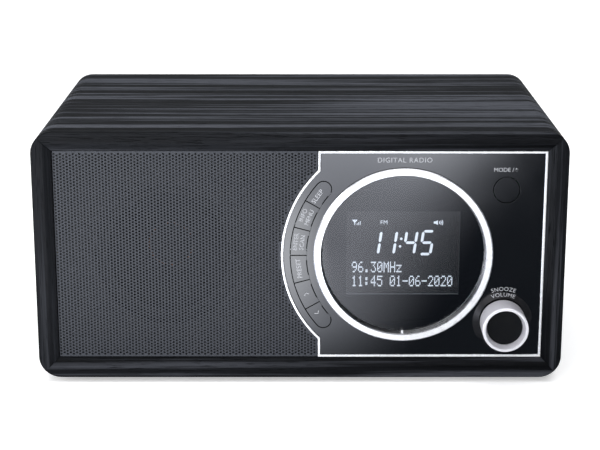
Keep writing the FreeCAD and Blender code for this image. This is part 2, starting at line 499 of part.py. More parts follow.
def loudspeaker():
    """Three inch driver: basket, magnet, voice coil, cone, surround, spider, cap, gasket and screws."""
    rim, back = "cone_y + flange_t", "cone_y + basket_d"
    neck, foot = "coil_r + coil_gap", "plate_r + basket_foot"
    basket = turned("basket_turned", [
        ("roll_r", "cone_y"), ("spk_r", "cone_y"), ("spk_r", rim), ("roll_r + basket_seat", rim),
        (foot, f"{back} - flange_t"), (foot, back), (neck, back), (neck, f"{back} - flange_t"),
        (f"{foot} - flange_t", f"{back} - flange_t"), ("roll_r + basket_seat - basket_wall", rim),
        ("roll_r", rim)], "spk_x", "0")
    vents = []
    for i in range(3):
        vent = doc.addObject("Part::Box", f"basket_vent{i}")
        bind(vent, Length="2 * spk_r", Width="basket_d - flange_t - vent_edge - vent_foot", Height="vent_w")
        turn = FreeCAD.Rotation(FreeCAD.Vector(0, 1, 0), 60 * i)
        put(vent, f"spk_x - spk_r * cos({60 * i}deg) - vent_w / 2 * sin({60 * i}deg)", f"{rim} + vent_edge",
            f"spk_r * sin({60 * i}deg) - vent_w / 2 * cos({60 * i}deg)", turn)
        vents.append(vent)
    bores = holes("basket", SPEAKER_SCREWS, "screw_r + shaft_fit", "cone_y - 1", f"{rim} + 1")
    cut("speaker_basket", basket, *vents, *bores)
    seat = cut("gasket_ring", rod("gasket_out", "spk_x", "0", "spk_r", "face_y", "cone_y"),
               rod("gasket_in", "spk_x", "0", "mouth_r", "face_y - 1", "cone_y + 1"))
    cut("speaker_gasket", seat, *holes("gasket", SPEAKER_SCREWS, "screw_r + shaft_fit", "face_y - 1",
                                       "cone_y + 1"))
    front_screws.extend(screw(f"speaker_screw{i}", x, z, rim, "flange_t + gasket_t + chassis_t - post_root")
                        for i, (x, z) in enumerate(SPEAKER_SCREWS))
    magnet, end = f"{back} + plate_t", f"{back} + plate_t + magnet_t"
    cut("speaker_top_plate", rod("top_plate_disc", "spk_x", "0", "plate_r", back, magnet),
        rod("top_plate_bore", "spk_x", "0", neck, f"{back} - 1", f"{magnet} + 1"))
    cut("speaker_magnet", rod("magnet_disc", "spk_x", "0", "magnet_r", magnet, end),
        rod("magnet_bore", "spk_x", "0", "coil_r + magnet_gap", f"{magnet} - 1", f"{end} + 1"))
    turned("speaker_yoke", [("0", back), ("coil_r - pole_gap", back), ("coil_r - pole_gap", end),
                            ("plate_r", end), ("plate_r", f"{end} + yoke_t"), ("0", f"{end} + yoke_t")],
           "spk_x", "0")
    top, lip = f"{back} - coil_front", "cone_y + cone_lip"
    turned("voice_coil", [("coil_r - coil_t", top), ("coil_r", top), ("coil_r", f"{back} + coil_back"),
                          ("coil_r - coil_t", f"{back} + coil_back")], "spk_x", "0")
    rim_r = "cone_r + cone_edge"
    turned("speaker_cone", [("coil_r", top), ("cone_r", lip), (rim_r, lip), (rim_r, f"{lip} + paper_t"),
                            ("cone_r + paper_slant", f"{lip} + paper_t"), ("coil_r", f"{top} + cone_edge")],
           "spk_x", "0")
    crest = f"{lip} - roll_h"
    turned("speaker_surround", [
        ("cone_r + cone_edge / 2", lip), ("cone_r + cone_edge / 2", f"{lip} - roll_h / 2"),
        ("cone_r + cone_edge * 1.5", crest), ("roll_r - cone_edge", crest), ("roll_r", "cone_y - rubber_t"),
        ("roll_r + rubber_seat", "cone_y - rubber_t"), ("roll_r + rubber_seat", "cone_y"),
        ("roll_r - rubber_t", "cone_y"), ("roll_r - cone_edge - rubber_t", f"{crest} + rubber_t"),
        ("cone_r + cone_edge * 1.5 + rubber_t", f"{crest} + rubber_t"),
        (rim_r, f"{lip} - roll_h / 2 + rubber_t"), (rim_r, lip)], "spk_x", "0")
    web = f"{back} - spider_in"
    waves = [(f"coil_r + {i} * spider_wave", f"{web} + {lift} * spider_h") for i, lift in enumerate((0, -1, 1, 0))]
    rim_out = [(f"{foot} - flange_t - joint_lap", f"{back} - flange_t - spider_t"),
               (f"{foot} - flange_t - joint_lap", f"{back} - flange_t")]
    turned("speaker_spider", waves + rim_out + [(r, f"{y} + spider_t") for r, y in waves[::-1]], "spk_x", "0")
    dome = [("0", 1), ("coil_r * 0.4", 0.83), ("coil_r * 0.73", 0.43)]
    turned("speaker_dust_cap", [(r, f"{top} - {rise} * dome_h") for r, rise in dome]
           + [("coil_r - coil_t", top)]
           + [(r, f"{top} - {rise} * dome_h + paper_t") for r, rise in dome[::-1]], "spk_x", "0")


def rear():
    """Rear cover, its screws, the main board on its bosses, and the three sockets."""
    cover = slab("cover_plate", "0", "0", "open_w - 2 * fit_gap", "open_h - 2 * fit_gap", "cover_y", "back_y")
    bosses = [rod(f"main_boss{i}", x, z, "main_boss_r", "main_y + board_t", "cover_y + post_root")
              for i, (x, z) in enumerate(MAIN_SCREWS)]
    slots = [slab(f"cover_slot{i}", "spk_x", f"{i - 3} * cover_slot_pitch", "cover_slot_l", "cover_slot_h",
                  "cover_y - 1", "back_y + 1") for i in range(7)]
    cut("rear_cover", fuse("cover_solid", cover, *bosses), *slots,
        *holes("cover_screw", COVER_SCREWS, "screw_r + shaft_fit", "cover_y - 1", "back_y + 1"),
        *holes("cover_sink", COVER_SCREWS, "head_r + head_gap", "back_y - head_t - head_gap", "back_y + 1"),
        *holes("cover_main", MAIN_SCREWS, "screw_r + shaft_fit", "main_y", "cover_y"),
        rod("cover_dc", "dc_x", "socket_z", "dc_r + nose_wall + nose_gap", "cover_y - 1", "back_y + 1"),
        rod("cover_line", "line_x", "socket_z", "phone_r + nose_wall + nose_gap", "cover_y - 1", "back_y + 1"),
        rod("cover_phones", "phones_x", "socket_z", "phone_r + nose_wall + nose_gap", "cover_y - 1", "back_y + 1"),
        rod("cover_aerial", "rod_x", "rod_z", "stem_r + shaft_fit", "cover_y - 1", "back_y + 1"))
    rear_screws = [screw(f"cover_screw{i}", x, z, "back_y - head_t - head_gap", "cover_screw_l")
                   for i, (x, z) in enumerate(COVER_SCREWS)]
    board = slab("main_plate", "main_x", "0", "main_w", "main_h", "main_y", "main_y + board_t")
    cut("main_board", board, *holes("main", MAIN_SCREWS, "screw_r + shaft_fit", "main_y - 1",
                                    "main_y + board_t + 1"))
    group("rear_screws", *rear_screws, *[screw(f"main_screw{i}", x, z, "main_y", "main_screw_l", away=-1)
                                         for i, (x, z) in enumerate(MAIN_SCREWS)])
    start = "main_y + board_t"
    for name, x in (("line_in_socket", "line_x"), ("headphone_socket", "phones_x")):
        block = slab(name + "_block", x, "socket_z", "jack_w", "jack_w", start, "cover_y - socket_gap")
        nose = rod(name + "_nose", x, "socket_z", "phone_r + nose_wall", "cover_y - 1", "back_y")
        cut(name, fuse(name + "_solid", block, nose), rod(name + "_bore", x, "socket_z", "phone_r",
                                                          "back_y - phone_deep", "back_y + 1"))
    block = slab("dc_block", "dc_x", "socket_z", "dc_w", "dc_w", start, "cover_y - socket_gap")
    nose = rod("dc_nose", "dc_x", "socket_z", "dc_r + nose_wall", "cover_y - 1", "back_y")
    bore = rod("dc_bore", "dc_x", "socket_z", "dc_r", "back_y - dc_deep", "back_y + 1")
    pin = rod("dc_pin", "dc_x", "socket_z", "dc_pin_r", "back_y - dc_deep - 1", "back_y - dc_pin_back")
    fuse("dc_inlet_socket", cut("dc_hollow", fuse("dc_solid", block, nose), bore), pin)
    slab("tuner_module", "main_x + tuner_x", "tuner_z", "tuner_w", "tuner_h", "main_y - tuner_d", "main_y")
    tanks = [rod(f"tank{i}", f"main_x + tank_x + {i} * tank_pitch", "tank_z", "tank_r", "main_y - tank_l",
                 "main_y") for i in range(2)]
    cans = [rod(f"can{i}", f"main_x + can_x + {i} * can_pitch", "can_z", "can_r", "main_y - can_l", "main_y")
            for i in range(4)]
    group("capacitors", *tanks, *cans)


def ribbon():
    """Flat cable between the two boards, in a long flattened S, with a socket on each board."""
    near_x, far_x, z = number("disc_x + ribbon_x"), number("main_x - ribbon_x"), number("mid_z")
    near_y = number("front_y + board_y + board_t + plug_d")
    far_y = number("front_y + main_y - plug_d")
    thick, width = number("ribbon_t"), number("ribbon_w")
    half, mid = (far_x - near_x) / 2, (near_y + far_y) / 2
    turn = abs(half)
    side = 1 if half > 0 else -1

    def line(offset):
        """The strip's centre line moved sideways: down, a quarter turn across, a quarter turn down."""
        first = FreeCAD.Vector(near_x + offset, near_y, z)
        bend = FreeCAD.Vector(near_x + offset, mid - turn, z)
        inner, outer = turn - side * offset, turn + side * offset
        centre = FreeCAD.Vector(near_x + side * turn, mid - turn, z)
        middle = FreeCAD.Vector(near_x + side * turn, mid - turn + inner, z)
        knee = centre + FreeCAD.Vector(-side * inner * math.sqrt(0.5), inner * math.sqrt(0.5), 0)
        next_centre = FreeCAD.Vector(middle.x, middle.y + outer, z)
        elbow = next_centre + FreeCAD.Vector(side * outer * math.sqrt(0.5), -outer * math.sqrt(0.5), 0)
        last_bend = FreeCAD.Vector(middle.x + side * outer, middle.y + outer, z)
        last = FreeCAD.Vector(last_bend.x, far_y, z)
        return [Part.makeLine(first, bend), Part.Arc(bend, knee, middle).toShape(),
                Part.Arc(middle, elbow, last_bend).toShape(), Part.makeLine(last_bend, last)]

    left, right = line(-thick / 2), line(thick / 2)
    ends = [Part.makeLine(left[0].firstVertex().Point, right[0].firstVertex().Point),
            Part.makeLine(left[-1].lastVertex().Point, right[-1].lastVertex().Point)]
    wire = Part.Wire(Part.__sortEdges__(left + right + ends))
    strip = Part.Face(wire).extrude(FreeCAD.Vector(0, 0, width))
    strip.translate(FreeCAD.Vector(0, 0, -width / 2))
    cable = doc.addObject("Part::Feature", "ribbon_cable")
    cable.Shape = strip
    near = slab("near_socket", "disc_x + ribbon_x", "0", "plug_w", "plug_l", "board_y + board_t",
                "board_y + board_t + plug_d")
    far = slab("far_socket", "main_x - ribbon_x", "0", "plug_w", "plug_l", "main_y - plug_d", "main_y")
    group("ribbon_sockets", near, far)


def along_rod(name, r, x0, x1):
    """A bar along -X on the folded aerial's axis, from x0 to x1 to the left of the turret."""
    bar = doc.addObject("Part::Cylinder", name)
    bind(bar, Radius=r, Height=f"{x1} - ({x0})")
    return put(bar, f"rod_x - ({x0})", "rod_y", "rod_z", ALONG_MINUS_X)


def aerial():
    """Turret in the rear cover, hinge pin, knuckle, three telescoping tubes and the tip rod."""
    disc = rod("turret_disc", "rod_x", "rod_z", "turret_r", "back_y + turret_gap", "back_y + turret_t")
    stem = rod("turret_stem", "rod_x", "rod_z", "stem_r", "cover_y - washer_t - washer_gap - stem_over",
               "back_y + post_root")
    ears = [box(f"ear{i}", "rod_x - ear_w / 2", "back_y + turret_t - ear_root", z, "ear_w",
                "rod_lift + lug_r - ear_short + ear_root", "ear_t")
            for i, z in enumerate(("rod_z + lug_t / 2 + ear_gap", "rod_z - lug_t / 2 - ear_gap - ear_t"))]

    def upright(name, radius, z, height):
        """A cylinder along Z on the hinge's axis."""
        bar = doc.addObject("Part::Cylinder", name)
        bind(bar, Radius=radius, Height=height)
        return put(bar, "rod_x", "rod_y", z, UP)

    reach = "lug_t / 2 + ear_gap + ear_t"
    cut("aerial_turret", fuse("turret_solid", disc, stem, *ears),
        upright("ear_eye", "pin_r + shaft_fit", f"rod_z - ({reach}) - 1", f"2 * ({reach}) + 2"))
    cut("aerial_washer", rod("washer_disc", "rod_x", "rod_z", "washer_r", "cover_y - washer_t - washer_gap",
                             "cover_y - washer_gap"),
        rod("washer_bore", "rod_x", "rod_z", "stem_r + shaft_fit", "cover_y - washer_t - 1", "cover_y"))
    upright("aerial_hinge_pin", "pin_r", f"rod_z - ({reach})", f"2 * ({reach})")
    lug = upright("lug_round", "lug_r", "rod_z - lug_t / 2", "lug_t")
    tongue = box("lug_tongue", "rod_x - tongue_l", "rod_y - tongue_w / 2", "rod_z - lug_t / 2", "tongue_l",
                 "tongue_w", "lug_t")
    root = along_rod("lug_root", "tube_r - tube_wall - tube_gap / 2", "root_in", "root_in + root_l")
    collar = along_rod("lug_collar", "tube_r + collar_lip", "collar_in", "tube_in")
    cut("aerial_knuckle", fuse("lug_solid", lug, tongue, root, collar),
        upright("lug_hole", "pin_r + shaft_fit", "rod_z - lug_t / 2 - 1", "lug_t + 2"))
    for i in range(3):
        outer = f"tube_r - {i} * (tube_wall + tube_gap)"
        start, stop = f"tube_in + {i} * tube_nest", f"tube_in + tube_l + {i} * tube_step"
        tube = along_rod(f"tube{i}", outer, start, stop)
        bore = along_rod(f"tube_bore{i}", f"{outer} - tube_wall", f"{start} - 1", f"{stop} + 1")
        cut(f"aerial_section_{i + 1}", tube, bore)
    end = "tube_in + tube_l + 3 * tube_step"
    wire = along_rod("rod_wire", "tube_r - 3 * (tube_wall + tube_gap)", "tube_in + 3 * tube_nest",
                     f"{end} + tip_root")
    tip = along_rod("rod_tip", "tip_r", end, f"{end} + tip_l")
    fuse("aerial_tip_section", wire, tip)


NODES = """
cabinet_sleeve frame_top_rail frame_bottom_rail frame_left_rail frame_right_rail cabinet_blocks
rubber_feet front_chassis front_screws speaker_grille fascia_trim control_fascia sleep_button menu_button
scan_button preset_button up_button down_button mode_button button_switches display_ring display_lens
display_mask lcd_frame lcd_glass lcd_backlight volume_knob knob_cap encoder_shaft encoder_case
encoder_plunger control_board speaker_basket speaker_gasket speaker_top_plate speaker_magnet speaker_yoke
voice_coil speaker_cone speaker_surround speaker_spider speaker_dust_cap rear_cover rear_screws
main_board line_in_socket headphone_socket dc_inlet_socket tuner_module capacitors ribbon_cable
ribbon_sockets aerial_turret aerial_washer aerial_hinge_pin aerial_knuckle aerial_section_1
aerial_section_2 aerial_section_3 aerial_tip_section
""".split()


def export():
    """Checks every object, then writes one STEP file for each sub-part."""
    doc.recompute()
    broken = [o.Label for o in doc.Objects if {"Invalid", "Error"} & set(o.State)]
    if broken:
        raise RuntimeError(f"these objects failed: {broken}")
    os.makedirs("parts", exist_ok=True)
    for name in NODES:
        shape = doc.getObject(name).Shape
        if shape.isNull() or not shape.isValid() or not shape.Solids:
            raise RuntimeError(f"{name} has no valid shape")
        shape.exportStep(f"parts/{name}.step")
        print(name, len(shape.Solids), round(shape.Volume, 1))


front_screws = []
for build in (cabinet, chassis, fascia, buttons, display, volume_control, control_board, loudspeaker, rear,
              ribbon, aerial):
    build()
group("front_screws", *front_screws)
export()
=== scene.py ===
import bpy
import bmesh
import json
import math
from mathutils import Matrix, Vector


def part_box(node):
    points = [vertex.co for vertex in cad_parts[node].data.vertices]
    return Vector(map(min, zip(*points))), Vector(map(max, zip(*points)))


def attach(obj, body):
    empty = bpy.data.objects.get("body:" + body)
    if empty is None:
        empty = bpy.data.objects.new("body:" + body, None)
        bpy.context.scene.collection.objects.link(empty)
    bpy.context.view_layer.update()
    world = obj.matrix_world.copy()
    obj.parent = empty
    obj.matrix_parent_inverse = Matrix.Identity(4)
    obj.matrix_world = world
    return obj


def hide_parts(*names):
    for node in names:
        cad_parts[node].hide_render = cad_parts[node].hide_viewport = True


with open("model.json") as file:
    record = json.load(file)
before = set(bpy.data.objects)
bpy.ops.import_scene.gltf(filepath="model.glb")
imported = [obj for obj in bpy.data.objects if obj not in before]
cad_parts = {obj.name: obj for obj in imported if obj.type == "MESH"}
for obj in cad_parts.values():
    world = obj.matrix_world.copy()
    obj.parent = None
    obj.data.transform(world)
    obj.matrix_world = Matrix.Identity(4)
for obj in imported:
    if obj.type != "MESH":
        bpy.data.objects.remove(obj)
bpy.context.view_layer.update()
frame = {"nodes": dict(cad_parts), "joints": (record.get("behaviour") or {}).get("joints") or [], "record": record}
nodes = frame["nodes"]
joints = {joint["name"]: joint for joint in frame["joints"]}
mm = 0.001
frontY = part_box("frame_top_rail")[0].y  # the cabinet's front plane
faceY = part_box("control_fascia")[0].y  # the fascia's face
ringLow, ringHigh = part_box("display_ring")
eye = (ringLow + ringHigh) / 2  # middle of the round display
print("frame loaded:", len(nodes), "nodes")


# ---- node trees written as expressions ----

class Wire:
    # a socket in a node tree; arithmetic on it adds Math nodes
    def __init__(self, tree, socket=None):
        self.tree, self.socket = tree, socket

    def node(self, kind, settings=None, sockets=None, out=0):
        made = self.tree.nodes.new(kind)
        for name, value in (settings or {}).items():
            if name == "stops":  # a colour ramp's positions and colours
                ramp = made.color_ramp.elements
                while len(ramp) < len(value):
                    ramp.new(1)
                for element, (position, colour) in zip(ramp, value):
                    element.position, element.color = position, (*colour, 1)
            else:
                setattr(made, name, value)
        for key, value in (sockets or {}).items():
            if isinstance(value, Wire):
                self.tree.links.new(value.socket, made.inputs[key])
            elif value is not None:
                made.inputs[key].default_value = value
        return Wire(self.tree, made.outputs[out])

    def math(self, operation, *values):
        return self.node("ShaderNodeMath", {"operation": operation}, dict(enumerate(values)))

    def __add__(self, other):
        return self.math("ADD", self, other)

    def __sub__(self, other):
        return self.math("SUBTRACT", self, other)

    def __mul__(self, other):
        return self.math("MULTIPLY", self, other)

    def __truediv__(self, other):
        return self.math("DIVIDE", self, other)

    def __gt__(self, other):
        return self.math("GREATER_THAN", self, other)


def stretched(place, x, y, z):
    # place in millimetres, times a frequency along each axis
    scale = (x / mm, y / mm, z / mm)
    return place.node("ShaderNodeVectorMath", {"operation": "MULTIPLY"}, {0: place, 1: scale})


def noise(place, x, y=None, z=None, detail=3, rough=0.55):
    spread = stretched(place, x, x if y is None else y, x if z is None else z)
    sockets = {"Vector": spread, "Scale": 1, "Detail": detail, "Roughness": rough}
    return place.node("ShaderNodeTexNoise", {}, sockets)


def ranged(value, low, high, toLow=0, toHigh=1):
    sockets = {0: value, 1: low, 2: high, 3: toLow, 4: toHigh}
    return value.node("ShaderNodeMapRange", {"interpolation_type": "SMOOTHSTEP"}, sockets)


def blended(amount, first, second):  # mixes two colours
    return amount.node("ShaderNodeMix", {"data_type": "RGBA"}, {0: amount, 6: first, 7: second}, 2)


def bumped(height, distance, strength=1, edge=0):
    # edge is the radius that sharp corners are shaded with, or 0
    sockets = {"Height": height, "Distance": distance, "Strength": strength}
    if edge:
        sockets["Normal"] = height.node("ShaderNodeBevel", {"samples": 4}, {"Radius": edge})
    return height.node("ShaderNodeBump", {}, sockets)


def newMaterial(name, constants, paint=None):
    material = bpy.data.materials.new(name)
    material.use_nodes = True
    tree = material.node_tree
    shader = tree.nodes["Principled BSDF"]
    for key, value in constants.items():
        shader.inputs[key].default_value = value
    if paint:
        place = Wire(tree).node("ShaderNodeTexCoord", out="Object")
        for key, wire in paint(place).items():
            tree.links.new(wire.socket, shader.inputs[key])
    return material


def rgb(colour):
    return (*colour, 1)


# ---- finishes ----

ash = {
    "dark": (0.0042, 0.0048, 0.0062), "mid": (0.0105, 0.0118, 0.0148), "light": (0.085, 0.09, 0.107),
    "stops": (0.1, 0.5, 0.95), "alongGrain": 0.0035, "alongFibre": 0.02, "alongPore": 0.1,
    "bandFrequency": 0.11, "streakFrequency": 0.34, "fibreFrequency": 1.7, "poreFrequency": 3.2,
    "blotchFrequency": 0.012, "spread": (0.36, 0.64), "poreCut": (0.6, 0.68),
    "bandShare": 0.3, "streakShare": 0.42, "fibreShare": 0.34, "blotchShare": 0.16,
    "toneMiddle": 0.6, "toneGain": 1.6, "poreDarkening": 0.75, "poreShade": 0.5,
    "roughness": (0.4, 0.56), "poreRoughness": 0.15, "reliefDepth": 0.00022, "edgeRound": 0.0007,
}


def ashWood(name, axis, shade=1.0, contrast=1.0, gloss=0.2):
    # stained open grain ash; the grain runs along X or Z, or round the sleeve, square to Y
    def paint(place):
        def grain(across, along, **more):
            steps = {
                "alongX": (along, across, across),
                "alongZ": (across, across, along),
                "acrossY": (along, across, along),
            }[axis]
            return noise(place, *steps, **more)

        bands = ranged(grain(ash["bandFrequency"], ash["alongGrain"], detail=2), *ash["spread"])
        streaks = ranged(grain(ash["streakFrequency"], ash["alongGrain"] * 1.6, rough=0.6), *ash["spread"])
        fibres = grain(ash["fibreFrequency"], ash["alongFibre"], rough=0.7)
        pores = ranged(grain(ash["poreFrequency"], ash["alongPore"], detail=2), *ash["poreCut"])
        blotch = noise(place, ash["blotchFrequency"], detail=2)
        tone = (bands * ash["bandShare"] + streaks * ash["streakShare"] + fibres * ash["fibreShare"]
                + blotch * ash["blotchShare"])
        tone = (tone - ash["toneMiddle"]) * (ash["toneGain"] * contrast) + 0.5
        colours = [[c * shade for c in ash[depth]] for depth in ("dark", "mid", "light")]
        colour = tone.node("ShaderNodeValToRGB", {"stops": list(zip(ash["stops"], colours))}, {0: tone})
        inPore = rgb([c * shade * ash["poreShade"] for c in ash["dark"]])
        colour = blended(pores * ash["poreDarkening"], colour, inPore)
        relief = tone * 0.7 + fibres * 0.5 - pores * 0.8
        return {
            "Base Color": colour,
            "Roughness": ranged(tone, 0.1, 0.9, *ash["roughness"]) + pores * ash["poreRoughness"],
            "Normal": bumped(relief, ash["reliefDepth"], 0.8, ash["edgeRound"]),
        }
    return newMaterial(name, {"Specular IOR Level": gloss}, paint)


def grained(name, first, second, frequency, rough=(0.4, 0.5), metal=0.0, depth=0.0, edge=0.0, **constants):
    # a mottled finish: two close colours, a little roughness change, and a fine surface texture
    def paint(place):
        broad = noise(place, frequency * 0.12, detail=2)
        fine = noise(place, frequency, detail=3, rough=0.6)
        tone = ranged(broad * 0.5 + fine * 0.5, 0.3, 0.7)
        outcome = {
            "Base Color": blended(tone, rgb(first), rgb(second)),
            "Roughness": ranged(fine * 0.6 + broad * 0.4, 0.3, 0.7, *rough),
        }
        if depth:
            outcome["Normal"] = bumped(fine, depth, 1, edge)
        return outcome
    return newMaterial(name, {"Metallic": metal, **constants}, paint)


def forwardFacing(place):
    # 1 on faces that look forward or back, 0 on side walls, in the object's own directions
    facing = place.node("ShaderNodeNewGeometry", out="True Normal")
    parts = facing.node("ShaderNodeSeparateXYZ", {}, {0: facing}, "Y")
    return ranged(parts.math("ABSOLUTE", parts), 0.8, 0.95)


satin = {
    "smearFrequency": 0.25, "fineFrequency": 2.2, "ringPitch": 0.12 * mm, "faceMetal": 0.25, "smearShade": 0.95,
    "relief": 0.000002,
}


def satinMetal(name, face, wallPaintedShade, rough, middle=None, wallMetal=1.0):
    # bright satin on the front faces, polished on the walls, whose darker colour is painted shade; turned pieces
    # carry fine rings round their axis
    def paint(place):
        front = forwardFacing(place)
        smear = noise(place, satin["smearFrequency"], detail=2)
        fine = noise(place, satin["fineFrequency"], detail=2)
        if middle:
            away = place.node("ShaderNodeVectorMath", {"operation": "SUBTRACT"}, {0: place, 1: middle})
            flat = away.node("ShaderNodeVectorMath", {"operation": "MULTIPLY"}, {0: away, 1: (1, 0, 1)})
            radius = flat.node("ShaderNodeVectorMath", {"operation": "LENGTH"}, {0: flat}, "Value")
            fine = place.node("ShaderNodeTexNoise", {"noise_dimensions": "1D"},
                              {"W": radius / satin["ringPitch"], "Scale": 1, "Detail": 1})
        smeared = blended(smear, rgb(face), rgb([c * satin["smearShade"] for c in face]))
        return {
            # painted shade: the side walls get a darker colour than the front faces
            "Base Color": blended(front, rgb(wallPaintedShade), smeared),
            "Metallic": ranged(front, 0, 1, wallMetal, satin["faceMetal"]),
            "Roughness": ranged(fine * 0.5 + smear * 0.5, 0.3, 0.7, rough * 0.85, rough * 1.2),
            "Normal": bumped(fine, satin["relief"]),
        }
    return newMaterial(name, {}, paint)


def glossPanel(name):
    # black gloss moulding: faint waviness, and dust that dulls it in specks
    def paint(place):
        wave = noise(place, 0.05, detail=1)
        dust = ranged(noise(place, 2.6, detail=1), 0.7, 0.78)
        return {
            "Base Color": blended(dust, rgb((0.0022, 0.0025, 0.0031)), rgb((0.01, 0.0105, 0.012))),
            "Roughness": ranged(wave, 0.3, 0.7, 0.1, 0.13) + dust * 0.12,
            "Normal": bumped(wave, 0.00006, 0.5, 0.00012),
        }
    return newMaterial(name, {"IOR": 1.5}, paint)


def displayMask(name):
    # printed black on its faces, bare grey on its cut edges
    def paint(place):
        face = forwardFacing(place)
        speck = noise(place, 3, detail=1)
        return {
            "Base Color": blended(face, rgb((0.85, 0.88, 0.92)), rgb((0.016, 0.017, 0.02))),
            "Roughness": ranged(speck, 0.3, 0.7, 0.1, 0.16),
        }
    return newMaterial(name, {}, paint)


def smokedLens(name):
    # clear smoked plastic; lamps shine through it with its tint
    material = newMaterial(name, {
        "Base Color": (0.3, 0.31, 0.33, 1), "Transmission Weight": 1, "IOR": 1.5, "Roughness": 0.015})
    tree = material.node_tree
    plastic = Wire(tree, tree.nodes["Principled BSDF"].outputs[0])
    clear = plastic.node("ShaderNodeBsdfTransparent", {}, {0: (0.62, 0.65, 0.7, 1)})
    inShadow = plastic.node("ShaderNodeLightPath", out="Is Shadow Ray")
    mixed = plastic.node("ShaderNodeMixShader", {}, {0: inShadow, 1: plastic, 2: clear})
    tree.links.new(mixed.socket, tree.nodes["Material Output"].inputs[0])
    return material


def lcdPanel(name):
    # anti-glare polariser over a faint fine grid of cells, a little lit from behind
    def paint(place):
        cells = noise(place, 4, detail=1)
        glow = noise(place, 0.03, detail=1)
        return {
            "Base Color": blended(cells, rgb((0.0022, 0.0026, 0.0036)), rgb((0.0036, 0.004, 0.0052))),
            "Roughness": ranged(cells, 0.3, 0.7, 0.3, 0.36),
            "Emission Color": blended(glow, rgb((0.0008, 0.0011, 0.0018)), rgb((0.0014, 0.0018, 0.0027))),
        }
    return newMaterial(name, {"Emission Strength": 1.0, "Specular IOR Level": 0.12}, paint)


def circuitBoard(name):
    # green solder mask over copper tracks, with tinned pads
    def paint(place):
        def cells(frequencies, feature, spread):
            return place.node("ShaderNodeTexVoronoi", {"feature": feature},
                              {"Vector": stretched(place, *frequencies), "Scale": 1, "Randomness": spread})

        tracks = cells((0.22, 0.22, 0.3), "DISTANCE_TO_EDGE", 0.75)
        pads = cells((0.4, 0.4, 0.4), "F1", 0.2)
        copper = ranged(tracks, 0.05, 0.08, 1, 0)
        pad = ranged(pads, 0.17, 0.2, 1, 0)
        green = blended(copper, rgb((0.008, 0.055, 0.022)), rgb((0.02, 0.12, 0.045)))
        return {
            "Base Color": blended(pad, green, rgb((0.6, 0.61, 0.62))),
            "Metallic": pad,
            "Roughness": ranged(noise(place, 2), 0.3, 0.7, 0.25, 0.38),
            "Normal": bumped(copper + pad, 0.00004),
        }
    return newMaterial(name, {}, paint)


knobMiddle = (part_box("volume_knob")[0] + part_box("volume_knob")[1]) / 2
matt = {"Specular IOR Level": 0.12}
finishes = {
    "wood_side": ashWood("ashSleeve", "acrossY", 0.85, 1.5, 0.06),
    "wood_frame": ashWood("ashRail", "alongX", 0.56, 0.8, 0.05),
    "wood_frame_upright": ashWood("ashUpright", "alongZ", 0.6, 0.7, 0.05),
    "raw_wood": grained("sawnPine", (0.5, 0.36, 0.2), (0.62, 0.47, 0.29), 0.8, (0.7, 0.85), depth=0.0001),
    "foot_rubber": grained("footRubber", (0.012, 0.012, 0.013), (0.02, 0.02, 0.021), 2.5, (0.7, 0.85),
                           depth=0.00003),
    "black_moulding": grained("blackMoulding", (0.012, 0.012, 0.013), (0.018, 0.018, 0.02), 3.2,
                              (0.5, 0.62), depth=0.00004, edge=0.0003),
    "zinc_screw": grained("zincScrew", (0.5, 0.51, 0.53), (0.62, 0.62, 0.62), 1.5, (0.25, 0.4), 1.0,
                          0.000008, 0.0001),
    "grille_metal": grained("grillePaint", (0.041, 0.045, 0.055), (0.05, 0.054, 0.064), 2.2, (0.5, 0.62),
                            **matt),
    # each satin metal's second colour is its side walls, darker as painted shade
    "chrome_trim": satinMetal("brightTrim", (0.93, 0.94, 0.96), (0.5, 0.51, 0.54), 0.25),
    "gloss_panel": glossPanel("glossPanel"),
    # the ring's side walls are darker as painted shade
    "ring_chrome": satinMetal("satinRing", (0.93, 0.94, 0.96), (0.72, 0.73, 0.77), 0.28, eye),
    "smoked_lens": smokedLens("smokedLens"),
    "lcd_panel": lcdPanel("lcdPanel"),
    "display_mask": displayMask("maskPrint"),
    "light_guide": grained("lightGuide", (0.8, 0.83, 0.86), (0.86, 0.88, 0.9), 1.5, (0.5, 0.6)),
    # the knob's side walls are darker as painted shade
    "knob_metal": satinMetal("knobMetal", (0.88, 0.88, 0.92), (0.82, 0.81, 0.87), 0.34, knobMiddle, 0.35),
    "knob_inset": grained("knobInset", (0.0035, 0.004, 0.005), (0.0055, 0.006, 0.007), 3, (0.4, 0.5),
                          depth=0.00001, **matt),
    "circuit_board": circuitBoard("circuitBoard"),
    "speaker_steel": grained("blackSteel", (0.02, 0.02, 0.021), (0.03, 0.03, 0.032), 1.5, (0.35, 0.5),
                             0.6, 0.00001),
    "gasket_foam": grained("gasketFoam", (0.02, 0.02, 0.02), (0.035, 0.035, 0.036), 2.4, (0.85, 0.95),
                           depth=0.0001),
    "magnet_ferrite": grained("ferrite", (0.035, 0.035, 0.038), (0.06, 0.06, 0.062), 1.2, (0.5, 0.7),
                              0.3, 0.00002),
    "coil_copper": grained("coilCopper", (0.09, 0.035, 0.014), (0.13, 0.055, 0.024), 4, (0.4, 0.5), 0.6,
                           0.00002),
    "cone_paper": grained("conePaper", (0.014, 0.014, 0.015), (0.028, 0.028, 0.03), 1.6, (0.75, 0.9),
                          depth=0.0001),
    "surround_rubber": grained("rollRubber", (0.012, 0.012, 0.012), (0.018, 0.018, 0.018), 2,
                               (0.5, 0.65), depth=0.00001),
    "spider_cloth": grained("spiderCloth", (0.35, 0.2, 0.05), (0.5, 0.32, 0.1), 2.8, (0.6, 0.75),
                            depth=0.0001),
    "flat_cable": grained("flatCable", (0.3, 0.31, 0.33), (0.38, 0.39, 0.41), 1.2, (0.45, 0.55),
                          depth=0.00001),
    "aerial_chrome": grained("aerialChrome", (0.84, 0.84, 0.86), (0.9, 0.9, 0.92), 0.7, (0.08, 0.16),
                             1.0, 0.000002, 0.0001),
}
